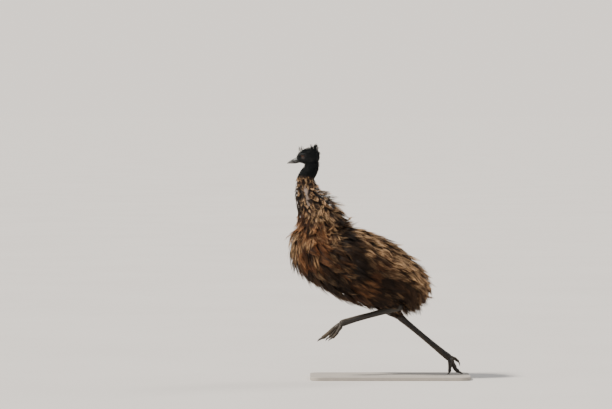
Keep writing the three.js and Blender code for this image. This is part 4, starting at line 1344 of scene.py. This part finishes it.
for side_name in SIDES:
    shank = Form(SHANKS[side_name], -SHANK_FULLER)
    toes = {name: toe_form(spec[0], TOE_FULLER * spec[2], TOE_FULLER * spec[3])
            for name, spec in TOES[side_name].items()}
    leg_parts = [shank.tube(90, 32)] + [toe.tube(60, 24) for toe in toes.values()]
    leg = fused(f"leg_skin_{side_name}", leg_parts, grain=2.0, rounds=4)
    lowest = STAND_TOP + 0.0004 if side_name == "right" else -1.0
    move_points(leg.data, kept_above(points_of(leg.data), lowest))
    shank_node = f"shank_{side_name}"
    dress(leg, "leg", "leg_skin", shank_node, *[f"toe_{name}_{side_name}" for name in toes])
    broad = plates(f"scutes_{side_name}", *shields(shank, toes), 12, 7)
    dress(broad, "scute", "leg_skin", shank_node)
    small = plates(f"small_scales_{side_name}", *grains(shank, toes), 6, 5)
    dress(small, "leg", "leg_skin", shank_node)
    for name, (line, claw, thick, wide) in TOES[side_name].items():
        points, faces = claw_form(line, claw, thick, wide).tube(48, 24, claw_rings)
        horn = piece_of(f"horn_{name}_{side_name}", kept_above(points, lowest), faces)
        dress(horn, "claw", "claw", f"claw_{name}_{side_name}")

# The coat
TRUNK_PARTING = -0.27


def on_left(roots):
    return roots[:, 1] < 0


def in_front(roots):
    return roots[:, 0] < TRUNK_PARTING


trunk_form, neck_form, head_form = Form(TRUNK), Form(NECK), Form(HEAD)
coats = grow_coat("trunk_feathers", trunk_form, TRUNK_COAT, {
    "left_front": lambda roots: on_left(roots) & in_front(roots),
    "left_rear": lambda roots: on_left(roots) & ~in_front(roots),
    "right_front": lambda roots: ~on_left(roots) & in_front(roots),
    "right_rear": lambda roots: ~on_left(roots) & ~in_front(roots),
})
coats += grow_coat("tail_feathers", trunk_form, TAIL_COAT, WHOLE)
coats += grow_coat("neck_feathers", neck_form, NECK_COAT, {
    "left": on_left, "right": lambda roots: ~on_left(roots),
})
coats += grow_coat("hood_feathers", neck_form, HOOD_COAT, WHOLE)
coats += grow_coat("head_feathers", head_form, HEAD_COAT, WHOLE)
coats += grow_coat("face_bristles", Form(HEAD, 0.6), FACE_COAT, WHOLE)
coats += grow_coat("crest_feathers", head_form, CREST, WHOLE)
for side_name, side_sign in SIDES.items():
    coats += grow_coat(f"wing_feathers_{side_name}", Form(WING, 0, side_sign), WING_FEATHERS, WHOLE)
    drumstick_form = Form(DRUMSTICKS[side_name])
    coats += grow_coat(f"leg_feathers_{side_name}", drumstick_form, drumstick_coat(side_name), WHOLE)
for tract in coats:
    dress(tract, "feathers", "plumage")

stand_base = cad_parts["stand_base"]
stand_base.data.materials.clear()
stand_base.data.materials.append(FINISHES["stand"])

# Studio: a pale floor, soft lights and the camera at the photograph's angle
FLOOR_REACH = 1500.0
SKY_LIGHT, SKY_SEEN = rgba(0.465, 0.475, 0.50), rgba(1.35, 1.24, 1.12)
CAMERA_AT = (-0.525, -21.25, 1.66)
CAMERA_DOWN = 1.54
floor_points = FLOOR_REACH * np.array([(-1, -1, 0), (1, -1, 0), (1, 1, 0), (-1, 1, 0)])
studio_floor = piece_of("studio_floor", floor_points, [(0, 1, 2, 3)], closed=False)
studio_floor.data.materials.append(FINISHES["floor"])


def far_light(name, towards, strength, softness, colour):
    lamp = bpy.data.lights.new(name, "SUN")
    lamp.energy, lamp.angle, lamp.color = strength, math.radians(softness), colour
    made = linked(name, lamp)
    made.location = tuple(-4 * part for part in towards)
    made.rotation_euler = Vector(towards).to_track_quat("-Z", "Y").to_euler()


far_light("key", (0.62, 0.22, -0.74), 5.3, 7, (1.0, 0.94, 0.85))
far_light("back_rim", (-0.55, -0.55, -0.62), 0.9, 20, (1.0, 0.97, 0.93))
world = bpy.data.worlds.new("studio")
world.use_nodes = True
world.node_tree.nodes.clear()
around = Nodes(world.node_tree)
seen = around.node("ShaderNodeLightPath", {}, {}, "Is Camera Ray")
sky = around.mix(seen, SKY_LIGHT, SKY_SEEN)
glow = around.node("ShaderNodeBackground", {}, {"Color": sky, "Strength": 1.0})
around.node("ShaderNodeOutputWorld", {}, {"Surface": glow})
bpy.context.scene.world = world

camera_data = bpy.data.cameras.new("camera")
camera_data.lens = 200
camera_data.sensor_width = 36
camera_data.clip_end = 2500
camera = linked("camera", camera_data)
camera.location = CAMERA_AT
camera.rotation_euler = (math.radians(90 - CAMERA_DOWN), 0, 0)
bpy.context.scene.camera = camera
